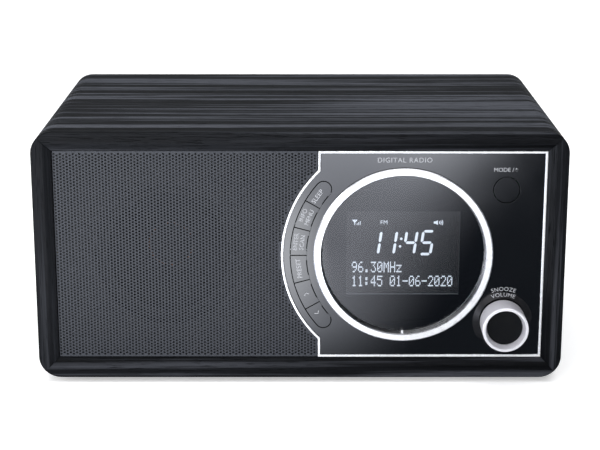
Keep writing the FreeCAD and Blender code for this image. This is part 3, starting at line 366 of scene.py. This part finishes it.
otherFinish = {  # nodes that look different from the rest of their slot
    "frame_left_rail": "wood_frame_upright", "frame_right_rail": "wood_frame_upright",
    "display_mask": "display_mask", "front_screws": "speaker_steel",
}
slotOf = {part["node"]: part["material_slot"] for part in frame["record"]["subparts"]}
for name, piece in nodes.items():
    for place in piece.material_slots:
        place.material = finishes[otherFinish.get(name, slotOf[name])]
print("finishes on", len(nodes), "nodes")


# ---- making meshes ----

def linked(name, data):
    made = bpy.data.objects.new(name, data)
    bpy.context.scene.collection.objects.link(made)
    return made


def meshFrom(shape, name, outward=True):
    if outward:
        bmesh.ops.recalc_face_normals(shape, faces=shape.faces)
    mesh = bpy.data.meshes.new(name)
    shape.to_mesh(mesh)
    shape.free()
    return mesh


def wallBetween(shape, lower, upper):
    # side faces between two loops with the same count of points
    for k in range(len(lower)):
        after = (k + 1) % len(lower)
        shape.faces.new([lower[k], lower[after], upper[after], upper[k]])


def pieceFrom(name, mesh, material, body, crease=30):
    mesh.materials.clear()
    mesh.materials.append(material)
    piece = linked(name, mesh)
    if crease:
        mesh.shade_smooth()
        mesh.set_sharp_from_angle(angle=math.radians(crease))
    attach(piece, body)
    return piece


def lathe(profile, middle, turns):
    # a closed profile of radius and depth spun round an axis along Y through middle
    shape = bmesh.new()
    angles = [2 * math.pi * k / turns for k in range(turns)]
    loops = [[shape.verts.new((middle.x + radius * math.cos(a), depth, middle.z + radius * math.sin(a)))
              for a in angles] for radius, depth in profile]
    for first, second in zip(loops, loops[1:] + loops[:1]):
        wallBetween(shape, first, second)
    return meshFrom(shape, "turned")


def nodesResult(source, tree, values):
    # runs a Geometry Nodes tree on source and returns the plain mesh it makes
    modifier = source.modifiers.new("build", "NODES")
    modifier.node_group = tree
    for item in tree.interface.items_tree:
        if item.item_type == "SOCKET" and item.in_out == "INPUT" and item.name in values:
            modifier[item.identifier] = values[item.name]
    shown = source.evaluated_get(bpy.context.evaluated_depsgraph_get())
    mesh = bpy.data.meshes.new_from_object(shown)
    source.modifiers.remove(modifier)
    bpy.data.objects.remove(source)
    return mesh


def geometryTree(name, inputs):
    tree = bpy.data.node_groups.new(name, "GeometryNodeTree")
    tree.interface.new_socket("Geometry", in_out="INPUT", socket_type="NodeSocketGeometry")
    tree.interface.new_socket("Geometry", in_out="OUTPUT", socket_type="NodeSocketGeometry")
    for label, kind in inputs.items():
        tree.interface.new_socket(label, in_out="INPUT", socket_type="NodeSocket" + kind)
    given = tree.nodes.new("NodeGroupInput")
    return tree, {socket.name: Wire(tree, socket) for socket in given.outputs if socket.name}


def endTree(shape, material):
    # every tree ends in real geometry with its material set
    real = shape.node("GeometryNodeRealizeInstances", {}, {0: shape})
    done = real.node("GeometryNodeSetMaterial", {}, {"Geometry": real, "Material": material})
    output = done.tree.nodes.new("NodeGroupOutput")
    done.tree.links.new(done.socket, output.inputs[0])


# ---- perforated grille ----

grille = {
    "columnGap": 1.44 * mm, "rowGap": 1.43 * mm, "holeShare": 0.61, "sheet": 0.8 * mm,
    "edgeGap": 0.25 * mm, "wholeCell": 0.45, "mergeWithin": 0.03 * mm, "weldWithin": 0.002 * mm,
}


def clipped(cell, point, outward):
    # the part of a convex cell on the inner side of a line
    kept = []
    for first, second in zip(cell, cell[1:] + cell[:1]):
        a, b = (first - point).dot(outward), (second - point).dot(outward)
        if a <= 0:
            kept.append(first)
        if (a < 0 < b) or (b < 0 < a):
            kept.append(first + (second - first) * (a / (a - b)))
    return kept


def grilleBlank(low, high, hub, hubRadius):
    # a flat honeycomb cut to the grille's outline, with the cells that get a hole marked
    shape = bmesh.new()
    holes = shape.faces.layers.bool.new("open")
    dx, dz = grille["columnGap"], grille["rowGap"]
    near = (dx * dx + dz * dz / 4) / 2
    narrow = (near - dz * dz / 4) / dx
    outline = [Vector((side * (narrow if rise else dx - narrow), rise * dz / 2))
               for side, rise in ((1, 0), (1, 1), (-1, 1), (-1, 0), (-1, -1), (1, -1))]
    columns = int((high.x - low.x) / dx) + 2
    rows = int((high.z - low.z) / dz) + 2
    middle = (low.z + high.z) / 2
    edges = [(Vector((low.x, 0)), Vector((-1, 0))), (Vector((0, low.z)), Vector((0, -1))),
             (Vector((0, high.z)), Vector((0, 1))), (Vector((high.x, 0)), Vector((1, 0)))]
    for i in range(columns):
        for j in range(-rows // 2 - 1, rows // 2 + 2):
            centre = Vector((low.x + dx * (i + 0.5), middle + dz * (j + 0.5 * (i % 2))))
            cell = [centre + corner for corner in outline]
            away = centre - hub
            lines = list(edges)
            if abs(away.y) < hubRadius:
                lines.append((hub + away.normalized() * hubRadius, -away.normalized()))
            whole = True
            for point, outward in lines:
                cell = clipped(cell, point, outward)
                whole = whole and (point - centre).dot(outward) > dz * grille["wholeCell"]
            if len(cell) < 3:
                continue
            face = shape.faces.new([shape.verts.new((c.x, low.y, c.y)) for c in cell])
            face[holes] = whole
    bmesh.ops.remove_doubles(shape, verts=shape.verts, dist=grille["mergeWithin"])
    bmesh.ops.recalc_face_normals(shape, faces=shape.faces)
    if sum(face.normal.y for face in shape.faces) > 0:
        bmesh.ops.reverse_faces(shape, faces=shape.faces)
    return meshFrom(shape, "grilleBlank", outward=False)


def perforateTree():
    # opens a hole in each marked cell, then gives the sheet its thickness
    tree, given = geometryTree("perforate", {"Hole Share": "Float", "Thickness": "Float", "Finish": "Material"})
    sheet = given["Geometry"]
    marked = sheet.node("GeometryNodeInputNamedAttribute", {"data_type": "FLOAT"}, {"Name": "open"}) > 0.5
    inset = sheet.node("GeometryNodeExtrudeMesh", {"mode": "FACES"},
                       {"Mesh": sheet, "Selection": marked, "Offset Scale": 0.0, "Individual": True})
    top = Wire(tree, inset.socket.node.outputs["Top"])
    shrunk = sheet.node("GeometryNodeScaleElements", {"domain": "FACE"},
                        {"Geometry": inset, "Selection": top, "Scale": given["Hole Share"]})
    pierced = sheet.node("GeometryNodeDeleteGeometry", {"domain": "FACE"},
                         {"Geometry": shrunk, "Selection": top})
    depth = given["Thickness"] * -1
    back = sheet.node("GeometryNodeExtrudeMesh", {"mode": "FACES"},
                      {"Mesh": pierced, "Offset Scale": depth, "Individual": False})
    front = sheet.node("GeometryNodeFlipFaces", {}, {"Mesh": pierced})
    both = tree.nodes.new("GeometryNodeJoinGeometry")
    for half in (front, back):
        tree.links.new(half.socket, both.inputs[0])
    whole = Wire(tree, both.outputs[0])
    merge = {"Geometry": whole, "Distance": grille["weldWithin"]}
    endTree(whole.node("GeometryNodeMergeByDistance", {}, merge), given["Finish"])
    return tree


def makeGrille():
    low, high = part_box("speaker_grille")
    hub = Vector((eye.x, eye.z))
    hubRadius = eye.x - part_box("fascia_trim")[0].x + grille["edgeGap"]
    source = linked("grilleSource", grilleBlank(low, high, hub, hubRadius))
    mesh = nodesResult(source, perforateTree(), {
        "Hole Share": grille["holeShare"], "Thickness": grille["sheet"], "Finish": finishes["grille_metal"]})
    piece = pieceFrom("perforated_grille", mesh, finishes["grille_metal"], "radio", crease=0)
    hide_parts("speaker_grille")
    print("grille:", len(mesh.polygons), "faces")


makeGrille()


# ---- bright edge trim ----

trim = {"edge": 0.3 * mm, "steps": 2, "weldWithin": 0.001 * mm, "sameDepth": 0.01 * mm, "crease": 35}


def makeTrim():
    # the bright edge strip again, with its two front edges rounded over
    shape = bmesh.new()
    shape.from_mesh(nodes["fascia_trim"].data)
    shape.transform(nodes["fascia_trim"].matrix_world)
    bmesh.ops.remove_doubles(shape, verts=shape.verts, dist=trim["weldWithin"])
    bmesh.ops.dissolve_limit(shape, angle_limit=math.radians(1), verts=shape.verts, edges=shape.edges)
    front = min(vertex.co.y for vertex in shape.verts)
    edges = [edge for edge in shape.edges if all(abs(v.co.y - front) < trim["sameDepth"] for v in edge.verts)
             and any(abs(face.normal.y) < 0.5 for face in edge.link_faces)]
    bmesh.ops.bevel(shape, geom=edges, offset=trim["edge"], offset_type="OFFSET", segments=trim["steps"],
                    profile=0.5, affect="EDGES", clamp_overlap=True)
    bmesh.ops.triangulate(shape, faces=[face for face in shape.faces if len(face.verts) > 4])
    mesh = meshFrom(shape, "trim", outward=False)
    piece = pieceFrom("bevelled_trim", mesh, finishes["chrome_trim"], "radio", trim["crease"])
    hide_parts("fascia_trim")


makeTrim()


# ---- lettering ----

capHeight = 0.73  # a capital's height as a share of the font's size
ink = grained("printedInk", (0.4, 0.41, 0.44), (0.46, 0.47, 0.5), 3, (0.5, 0.6))
proud = 0.03 * mm  # how far printed ink stands off its surface


def lettering(words, height, spacing=1.0):
    # plain sans letters, flat in X and Y, centred, with a little thickness
    curve = bpy.data.curves.new("letters", "FONT")
    curve.body, curve.size, curve.space_character = words, height / capHeight, spacing
    curve.align_x, curve.align_y = "CENTER", "CENTER"
    curve.extrude, curve.resolution_u = proud / 2, 4
    holder = linked("letters", curve)
    bpy.context.view_layer.update()
    mesh = bpy.data.meshes.new_from_object(holder.evaluated_get(bpy.context.evaluated_depsgraph_get()))
    bpy.data.objects.remove(holder)
    return mesh


def stand(mesh, right, up, outward, at):
    # stands a flat mesh on a surface: right and up are unit vectors in it
    for vertex in mesh.vertices:
        x, y, z = vertex.co
        vertex.co = at + right * x + up * y + outward * z
    return mesh


def arched(mesh, radius):
    # bends flat letters along an arc whose middle is below them
    for vertex in mesh.vertices:
        x, y, z = vertex.co
        angle, reach = x / radius, radius + y
        vertex.co = (reach * math.sin(angle), reach * math.cos(angle) - radius, z)
    return mesh


def joined(name, meshes, material, body, crease=30):
    shape = bmesh.new()
    for mesh in meshes:
        shape.from_mesh(mesh)
    bmesh.ops.remove_doubles(shape, verts=shape.verts, dist=0.0005 * mm)
    return pieceFrom(name, meshFrom(shape, name), material, body, crease)


def slabs(outlines, thick):
    # flat closed shapes with a little thickness
    shape = bmesh.new()
    for outline in outlines:
        lower, upper = ([shape.verts.new((x, y, side * thick / 2)) for x, y in outline] for side in (-1, 1))
        shape.faces.new(lower[::-1])
        shape.faces.new(upper)
        wallBetween(shape, lower, upper)
    return meshFrom(shape, "slabs")


def strokes(paths, width):
    # flat pen strokes: each path is a list of points, drawn as joined bars
    bars = []
    for path in paths:
        for first, second in zip(path, path[1:]):
            a, b = Vector(first), Vector(second)
            along = (b - a).normalized() * width / 2
            side = Vector((-along.y, along.x))
            bars.append([a - along + side, a - along - side, b + along - side, b + along + side])
    return slabs(bars, proud)


toRight, toTop, toFront = Vector((1, 0, 0)), Vector((0, 0, 1)), Vector((0, -1, 0))
flapLabels = {
    "height": 2.15 * mm, "twoLines": 0.93, "lineGap": 2.9 * mm, "reach": 3.6 * mm, "chevron": 1.0 * mm,
    "pen": 0.35 * mm,
    "words": {"sleep": ["SLEEP"], "menu": ["INFO", "MENU"], "scan": ["ENTER", "SCAN"], "preset": ["PRESET"]},
}
panelLabels = {
    "title": "DIGITAL RADIO", "titleHeight": 2.3 * mm, "titleRise": 44.2 * mm, "titleSpacing": 1.12,
    "modeWords": "MODE /", "modeHeight": 1.95 * mm, "modeRise": 9.2 * mm, "modeLeft": 1.6 * mm,
    "powerRadius": 0.62 * mm, "powerOpening": 35, "powerSteps": 14, "powerBar": (0.15 * mm, 0.85 * mm),
    "powerPen": 0.24 * mm, "powerRight": 4.0 * mm,
    "arcWords": (("SNOOZE", 15.6 * mm), ("VOLUME", 12.9 * mm)), "arcHeight": 1.95 * mm, "arcSpacing": 1.1,
}


def labelFlaps():
    for name in ("sleep", "menu", "scan", "preset", "up", "down"):
        joint = joints[name + "_press"]
        axis = Vector(joint["axis"])
        outward = Vector((axis.z, 0, -axis.x))  # away from the display's middle
        along = Vector((-outward.z, 0, outward.x)) * -1  # the way the words run
        centre = Vector(joint["pos_m"]) + outward * flapLabels["reach"]
        centre.y = faceY - proud / 2
        lines = flapLabels["words"].get(name, [])
        meshes = []
        for k, words in enumerate(lines):
            lift = ((len(lines) - 1) / 2 - k) * flapLabels["lineGap"]
            size = flapLabels["height"] * (1 if len(lines) == 1 else flapLabels["twoLines"])
            meshes.append(stand(lettering(words, size), along, outward, toFront, centre + outward * lift))
        if not lines:
            c = flapLabels["chevron"] * (1 if name == "up" else -1)
            mark = strokes([[(-c / 2, -abs(c)), (c / 2, 0), (-c / 2, abs(c))]], flapLabels["pen"])
            meshes.append(stand(mark, along, outward, toFront, centre))
        joined(name + "_label", meshes, ink, name + "_flap")


def powerMark():
    # an open ring with a bar in its opening
    opening, steps, reach = (panelLabels[key] for key in ("powerOpening", "powerSteps", "powerRadius"))
    angles = [math.radians(opening + (360 - 2 * opening) * k / steps) for k in range(steps + 1)]
    ring = [(reach * math.sin(a), reach * math.cos(a)) for a in angles]
    return strokes([ring, [(0, end) for end in panelLabels["powerBar"]]], panelLabels["powerPen"])


def labelPanel():
    meshes = []

    def put(mesh, at):
        meshes.append(stand(mesh, toRight, toTop, toFront, Vector((at.x, faceY - proud / 2, at.z))))

    title = lettering(panelLabels["title"], panelLabels["titleHeight"], panelLabels["titleSpacing"])
    put(title, eye + toTop * panelLabels["titleRise"])
    modeLow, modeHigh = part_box("mode_button")
    above = (modeLow + modeHigh) / 2 + toTop * panelLabels["modeRise"]
    words = lettering(panelLabels["modeWords"], panelLabels["modeHeight"])
    put(words, above - toRight * panelLabels["modeLeft"])
    put(powerMark(), above + toRight * panelLabels["powerRight"])
    for words, radius in panelLabels["arcWords"]:
        text = arched(lettering(words, panelLabels["arcHeight"], panelLabels["arcSpacing"]), radius)
        put(text, knobMiddle + toTop * radius)
    joined("panel_lettering", meshes, ink, "radio")


rearLabels = {
    "height": 2.4 * mm, "spacing": 1.1, "drop": 8.6 * mm,
    "words": {"dc_inlet_socket": "DC IN", "line_in_socket": "LINE IN", "headphone_socket": "PHONES"},
    "ringed": ("line_in_socket", "headphone_socket"), "ringTurns": 48,
    "ringInner": 2.1 * mm, "ringOuter": 3.0 * mm, "ringThick": 0.12 * mm,
}


def makeRear():
    # names under the sockets, and a plated ring round each audio socket's mouth
    toLeft, backward = Vector((-1, 0, 0)), Vector((0, 1, 0))
    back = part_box("rear_cover")[1].y
    inner, outer, rim = rearLabels["ringInner"], rearLabels["ringOuter"], back + rearLabels["ringThick"]
    meshes, rings = [], []
    for node, words in rearLabels["words"].items():
        low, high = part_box(node)
        x, z = (low.x + high.x) / 2, (low.z + high.z) / 2
        at = Vector((x, back + proud / 2, z - rearLabels["drop"]))
        text = lettering(words, rearLabels["height"], rearLabels["spacing"])
        meshes.append(stand(text, toLeft, toTop, backward, at))
        if node in rearLabels["ringed"]:
            profile = [(inner, back), (outer, back), (outer, rim), (inner, rim)]
            rings.append(lathe(profile, Vector((x, back, z)), rearLabels["ringTurns"]))
    joined("rear_lettering", meshes, ink, "radio")
    joined("socket_rings", rings, finishes["zinc_screw"], "radio")


labelFlaps()
labelPanel()
makeRear()
print("lettering printed")


# ---- liquid crystal figures ----

lcd = {
    "digitHeight": 10.8 * mm, "digitWidth": 4.75 * mm, "digitPen": 1.2 * mm, "slant": 0.14, "gap": 0.22 * mm,
    "digitsLow": -0.9 * mm, "time": (("1", -16.05 * mm), ("1", -8.95 * mm), ("4", 0.3 * mm), ("5", 7.85 * mm)),
    "colon": -1.75 * mm, "colonDot": 0.62 * mm, "colonRises": (0.34, 0.67), "colonSides": 8,
    "dotPitchX": 0.487 * mm, "dotPitchY": 0.74 * mm, "dotFill": 0.86, "textLeft": -23.0 * mm,
    "lines": (("96.30MHz", -9.3 * mm), ("11:45 01-06-2020", -16.0 * mm)),
    "thick": 0.02 * mm, "off": 0.015 * mm, "emission": 2.9,
}
icons = {  # the small signs along the display's top, placed from its middle
    "rise": 14.0 * mm, "half": 1.15 * mm, "pen": 0.3 * mm,
    "mast": -22.0 * mm, "mastSide": 0.9 * mm, "mastFork": 0.115 * mm,
    "levels": ((-20.9 * mm, 0.5 * mm), (-20.2 * mm, 1.0 * mm), (-19.5 * mm, 1.6 * mm)),
    "levelsDrop": 1.035 * mm, "waveBulge": 0.25 * mm,
    "waves": ((16.4 * mm, 0.5 * mm), (17.1 * mm, 0.8 * mm), (17.8 * mm, 1.1 * mm)),
    "horn": (13.9 * mm, 14.7 * mm, 15.8 * mm), "hornThroat": 0.5 * mm,
    "band": "FM", "bandLeft": -8.7 * mm, "bandHeight": 1.955 * mm, "bandSpacing": 1.1,
}
segments = {"1": "bc", "4": "fgbc", "5": "afgcd"}  # the lit bars of each figure
dotRows = {  # five by seven characters, a row of dots per word, top first
    "0": "01110 10001 10011 10101 11001 10001 01110", "1": "00100 01100 00100 00100 00100 00100 01110",
    "2": "01110 10001 00001 00010 00100 01000 11111", "3": "11111 00010 00100 00010 00001 10001 01110",
    "4": "00010 00110 01010 10010 11111 00010 00010", "5": "11111 10000 11110 00001 00001 10001 01110",
    "6": "00110 01000 10000 11110 10001 10001 01110", "9": "01110 10001 10001 01111 00001 00010 01100",
    "M": "10001 11011 10101 10101 10001 10001 10001", "H": "10001 10001 10001 11111 10001 10001 10001",
    "z": "00000 00000 11111 00010 00100 01000 11111", ".": "00000 00000 00000 00000 00000 01100 01100",
    ":": "00000 01100 01100 00000 01100 01100 00000", "-": "00000 00000 00000 11111 00000 00000 00000",
}


def dotTree():
    # sets one small block on each point
    inputs = {"Wide": "Float", "Tall": "Float", "Thick": "Float", "Finish": "Material"}
    tree, given = geometryTree("dots", inputs)
    sides = {axis: given[name] for axis, name in enumerate(("Wide", "Tall", "Thick"))}
    size = given["Wide"].node("ShaderNodeCombineXYZ", {}, sides)
    block = size.node("GeometryNodeMeshCube", {}, {"Size": size})
    points = block.node("GeometryNodeMeshToPoints", {}, {"Mesh": given["Geometry"]})
    blocks = points.node("GeometryNodeInstanceOnPoints", {}, {"Points": points, "Instance": block})
    endTree(blocks, given["Finish"])
    return tree


def segmentShapes(figure, left, low):
    # the lit bars of one seven-segment figure, each a bar with pointed ends
    w, h, pen, gap = lcd["digitWidth"], lcd["digitHeight"], lcd["digitPen"], lcd["gap"]
    ends = {"a": ((0, h), (w, h)), "b": ((w, h), (w, h / 2)), "c": ((w, h / 2), (w, 0)), "d": ((0, 0), (w, 0)),
            "e": ((0, h / 2), (0, 0)), "f": ((0, h), (0, h / 2)), "g": ((0, h / 2), (w, h / 2))}
    bars = []
    for letter in segments[figure]:
        a, b = (Vector(end) for end in ends[letter])
        along = (b - a).normalized()
        side = Vector((-along.y, along.x)) * pen / 2
        a, b = a + along * gap, b - along * gap
        inA, inB = a + along * pen / 2, b - along * pen / 2
        bars.append([a, inA - side, inB - side, b, inB + side, inA + side])
    return [[(left + p.x + lcd["slant"] * p.y, low + p.y) for p in bar] for bar in bars]


def clockOutlines():
    outlines = []
    for figure, left in lcd["time"]:
        outlines += segmentShapes(figure, left, lcd["digitsLow"])
    for rise in lcd["colonRises"]:
        y = lcd["digitsLow"] + rise * lcd["digitHeight"]
        x = lcd["colon"] + lcd["slant"] * rise * lcd["digitHeight"]
        angles = [2 * math.pi * k / lcd["colonSides"] for k in range(lcd["colonSides"])]
        size = lcd["colonDot"]
        outlines.append([(x + size * math.cos(a), y + size * math.sin(a)) for a in angles])
    return outlines


def textDots():
    # where each dot of the two text lines stands
    dots = []
    for words, low in lcd["lines"]:
        for place, letter in enumerate(words):
            for row, line in enumerate(dotRows.get(letter, "").split()):
                y = low + (6 - row) * lcd["dotPitchY"]
                dots += [(lcd["textLeft"] + (place * 6 + column) * lcd["dotPitchX"], y, 0)
                         for column, dot in enumerate(line) if dot == "1"]
    return dots


def signShapes():
    # aerial and signal levels, the band's name, and a loudspeaker with its waves
    rise, half, mast, side = (icons[key] for key in ("rise", "half", "mast", "mastSide"))
    top, low, throat = rise + half, rise - icons["levelsDrop"], icons["hornThroat"]
    fork = (mast, rise + icons["mastFork"])
    paths = [[(mast - side, top), fork], [(mast + side, top), fork], [(mast - side, top), (mast + side, top)],
             [(mast, top), (mast, rise - half)]]
    paths += [[(x, low), (x, low + step)] for x, step in icons["levels"]]
    bulge = icons["waveBulge"]
    paths += [[(x, rise - reach), (x + bulge, rise), (x, rise + reach)] for x, reach in icons["waves"]]
    back, waist, mouth = icons["horn"]
    horn = [(back, rise - throat), (waist, rise - throat), (mouth, rise - half),
            (mouth, rise + half), (waist, rise + throat), (back, rise + throat)]
    band = lettering(icons["band"], icons["bandHeight"], icons["bandSpacing"])
    for vertex in band.vertices:
        vertex.co += Vector((icons["bandLeft"], rise, 0))
    return [strokes(paths, icons["pen"]), slabs([horn], lcd["thick"]), band]


def makeDisplay():
    lit = newMaterial("lcdLit", {"Base Color": (0.5, 0.52, 0.56, 1), "Roughness": 0.5,
                                 "Emission Color": (0.86, 0.93, 1, 1), "Emission Strength": lcd["emission"]})
    glassLow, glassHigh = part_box("lcd_glass")
    at = Vector(((glassLow.x + glassHigh.x) / 2, glassLow.y - lcd["off"], (glassLow.z + glassHigh.z) / 2))

    def show(name, meshes):
        standing = [stand(mesh, toRight, toTop, toFront, at) for mesh in meshes]
        joined(name, standing, lit, "radio", crease=0)

    show("clock_figures", [slabs(clockOutlines(), lcd["thick"])])
    points = bpy.data.meshes.new("dotPlaces")
    points.from_pydata(textDots(), [], [])
    show("dot_text", [nodesResult(linked("dotSource", points), dotTree(), {
        "Wide": lcd["dotPitchX"] * lcd["dotFill"], "Tall": lcd["dotPitchY"] * lcd["dotFill"],
        "Thick": lcd["thick"], "Finish": lit})])
    show("display_icons", signShapes())


makeDisplay()
print("display lit")


# ---- floor, lights, camera ----

studio = {
    "lens": 97.06, "pitch": 15.215, "distance": 702.1 * mm, "height": 266.2 * mm, "sensor": 36, "clip": 0.01,
    "floorShade": (0.93, 0.93, 0.935), "floorGlow": 0.42, "floorReach": 6,
    "worldStrength": 0.24, "worldColour": (0.93, 0.96, 1),
    "lamps": (  # name, place, target, width and length, power
        ("overhead", (0, 0.15, 2.0), (0, 0.1, 0), (2.6, 2.2), 38),
        ("frontSoftbox", (-0.5, -1.7, 1.0), (0, 0, 0.05), (1.4, 1.0), 17),
        ("leftFill", (-1.5, -0.2, 0.9), (0, 0, 0.06), (0.8, 1.0), 8),
    ),
}
# the card that shows in the gloss panel: it lies on the floor in front, seen by reflections only
card = {
    "halfWidth": 0.9, "reach": 1.4, "gap": 0.004, "height": 0.001, "strength": 8.0,
    "edgeSlope": 0.2725, "edgeStart": 0.04, "edgeShift": 0.02, "edgeSoft": (-0.045, 0.04), "rampLength": 0.6,
    "stops": [
        (0.03, (0.2, 0.21, 0.24)), (0.13, (0.5, 0.525, 0.59)), (0.21, (0.48, 0.5, 0.565)),
        (0.36, (0.38, 0.395, 0.45)), (0.55, (0.46, 0.48, 0.54)), (0.78, (0.68, 0.71, 0.8)),
        (1, (0.85, 0.88, 0.96))],
    "beyondEdge": (0.012, 0.015, 0.02),
    "leftSide": (0.02, -0.004), "leftMiddle": 0.23, "leftSpread": (0.19, 0.04), "leftShare": 0.85,
    "leftColour": (1.3, 1.34, 1.42),
    "spotSide": 0.095, "spotSpread": (0.05, 0.0), "spotAhead": (0.36, 0.46), "spotShare": 0.4,
    "spotColour": (1.0, 1.03, 1.1),
}


def paintCard(place):
    # bright to the left of a slanting edge, dark to the right, with two brighter patches
    x = place.node("ShaderNodeSeparateXYZ", {}, {0: place})
    y = Wire(x.tree, x.socket.node.outputs[1])
    ahead = (y - frontY) * -1
    edge = x - (ahead - card["edgeStart"]) * card["edgeSlope"] - card["edgeShift"]
    fromLeft = (ahead - card["leftMiddle"]).math("ABSOLUTE", ahead - card["leftMiddle"])
    fromSpot = (x - card["spotSide"]).math("ABSOLUTE", x - card["spotSide"])
    leftEnd = ranged(x, *card["leftSide"]) * ranged(fromLeft, *card["leftSpread"])
    farSpot = ranged(fromSpot, *card["spotSpread"]) * ranged(ahead, *card["spotAhead"])
    lit = ahead.node("ShaderNodeValToRGB", {"stops": card["stops"]}, {0: ahead / card["rampLength"]})
    lit = blended(leftEnd * card["leftShare"], lit, rgb(card["leftColour"]))
    lit = blended(farSpot * card["spotShare"], lit, rgb(card["spotColour"]))
    return {"Emission Color": blended(ranged(edge, *card["edgeSoft"]), lit, rgb(card["beyondEdge"]))}


def sheetOn(name, corners, material):
    sheet = bpy.data.meshes.new(name)
    sheet.from_pydata(corners, [], [(0, 1, 2, 3)])
    sheet.materials.append(material)
    return linked(name, sheet)


def makeSurroundings():
    far = studio["floorReach"]
    pale = newMaterial("paleFloor", {
        "Base Color": rgb(studio["floorShade"]), "Roughness": 0.9, "Specular IOR Level": 0.0,
        "Emission Color": (1, 1, 1, 1), "Emission Strength": studio["floorGlow"]})
    sheetOn("studio_floor", [(-far, -far, 0), (far, -far, 0), (far, far, 0), (-far, far, 0)], pale)

    side, height = card["halfWidth"], card["height"]
    far, near = frontY - card["reach"], frontY - card["gap"]
    glowing = newMaterial("cardLight", {"Base Color": (0, 0, 0, 1), "Specular IOR Level": 0,
                                        "Emission Strength": card["strength"]}, paintCard)
    holder = sheetOn("reflected_card", [(-side, far, height), (side, far, height), (side, near, height),
                                        (-side, near, height)], glowing)
    holder.visible_camera = holder.visible_diffuse = holder.visible_shadow = False
    holder.visible_transmission = holder.visible_volume_scatter = False


def makeStudio():
    scene = bpy.context.scene
    scene.view_settings.view_transform = "Standard"
    makeSurroundings()

    world = bpy.data.worlds.new("studio")
    scene.world = world
    world.use_nodes = True
    background = world.node_tree.nodes["Background"].inputs
    background[0].default_value = rgb(studio["worldColour"])
    background[1].default_value = studio["worldStrength"]

    for name, at, target, (width, length), power in studio["lamps"]:
        light = bpy.data.lights.new(name, "AREA")
        light.shape, light.size, light.size_y, light.energy = "RECTANGLE", width, length, power
        holder = linked(name, light)
        holder.location = at
        holder.rotation_euler = (Vector(target) - Vector(at)).to_track_quat("-Z", "Y").to_euler()

    camera = bpy.data.cameras.new("camera")
    camera.lens, camera.sensor_width, camera.clip_start = studio["lens"], studio["sensor"], studio["clip"]
    holder = linked("camera", camera)
    holder.location = (0, frontY - studio["distance"], studio["height"])
    holder.rotation_euler = (math.radians(90 - studio["pitch"]), 0, 0)
    scene.camera = holder


makeStudio()
print("studio ready")
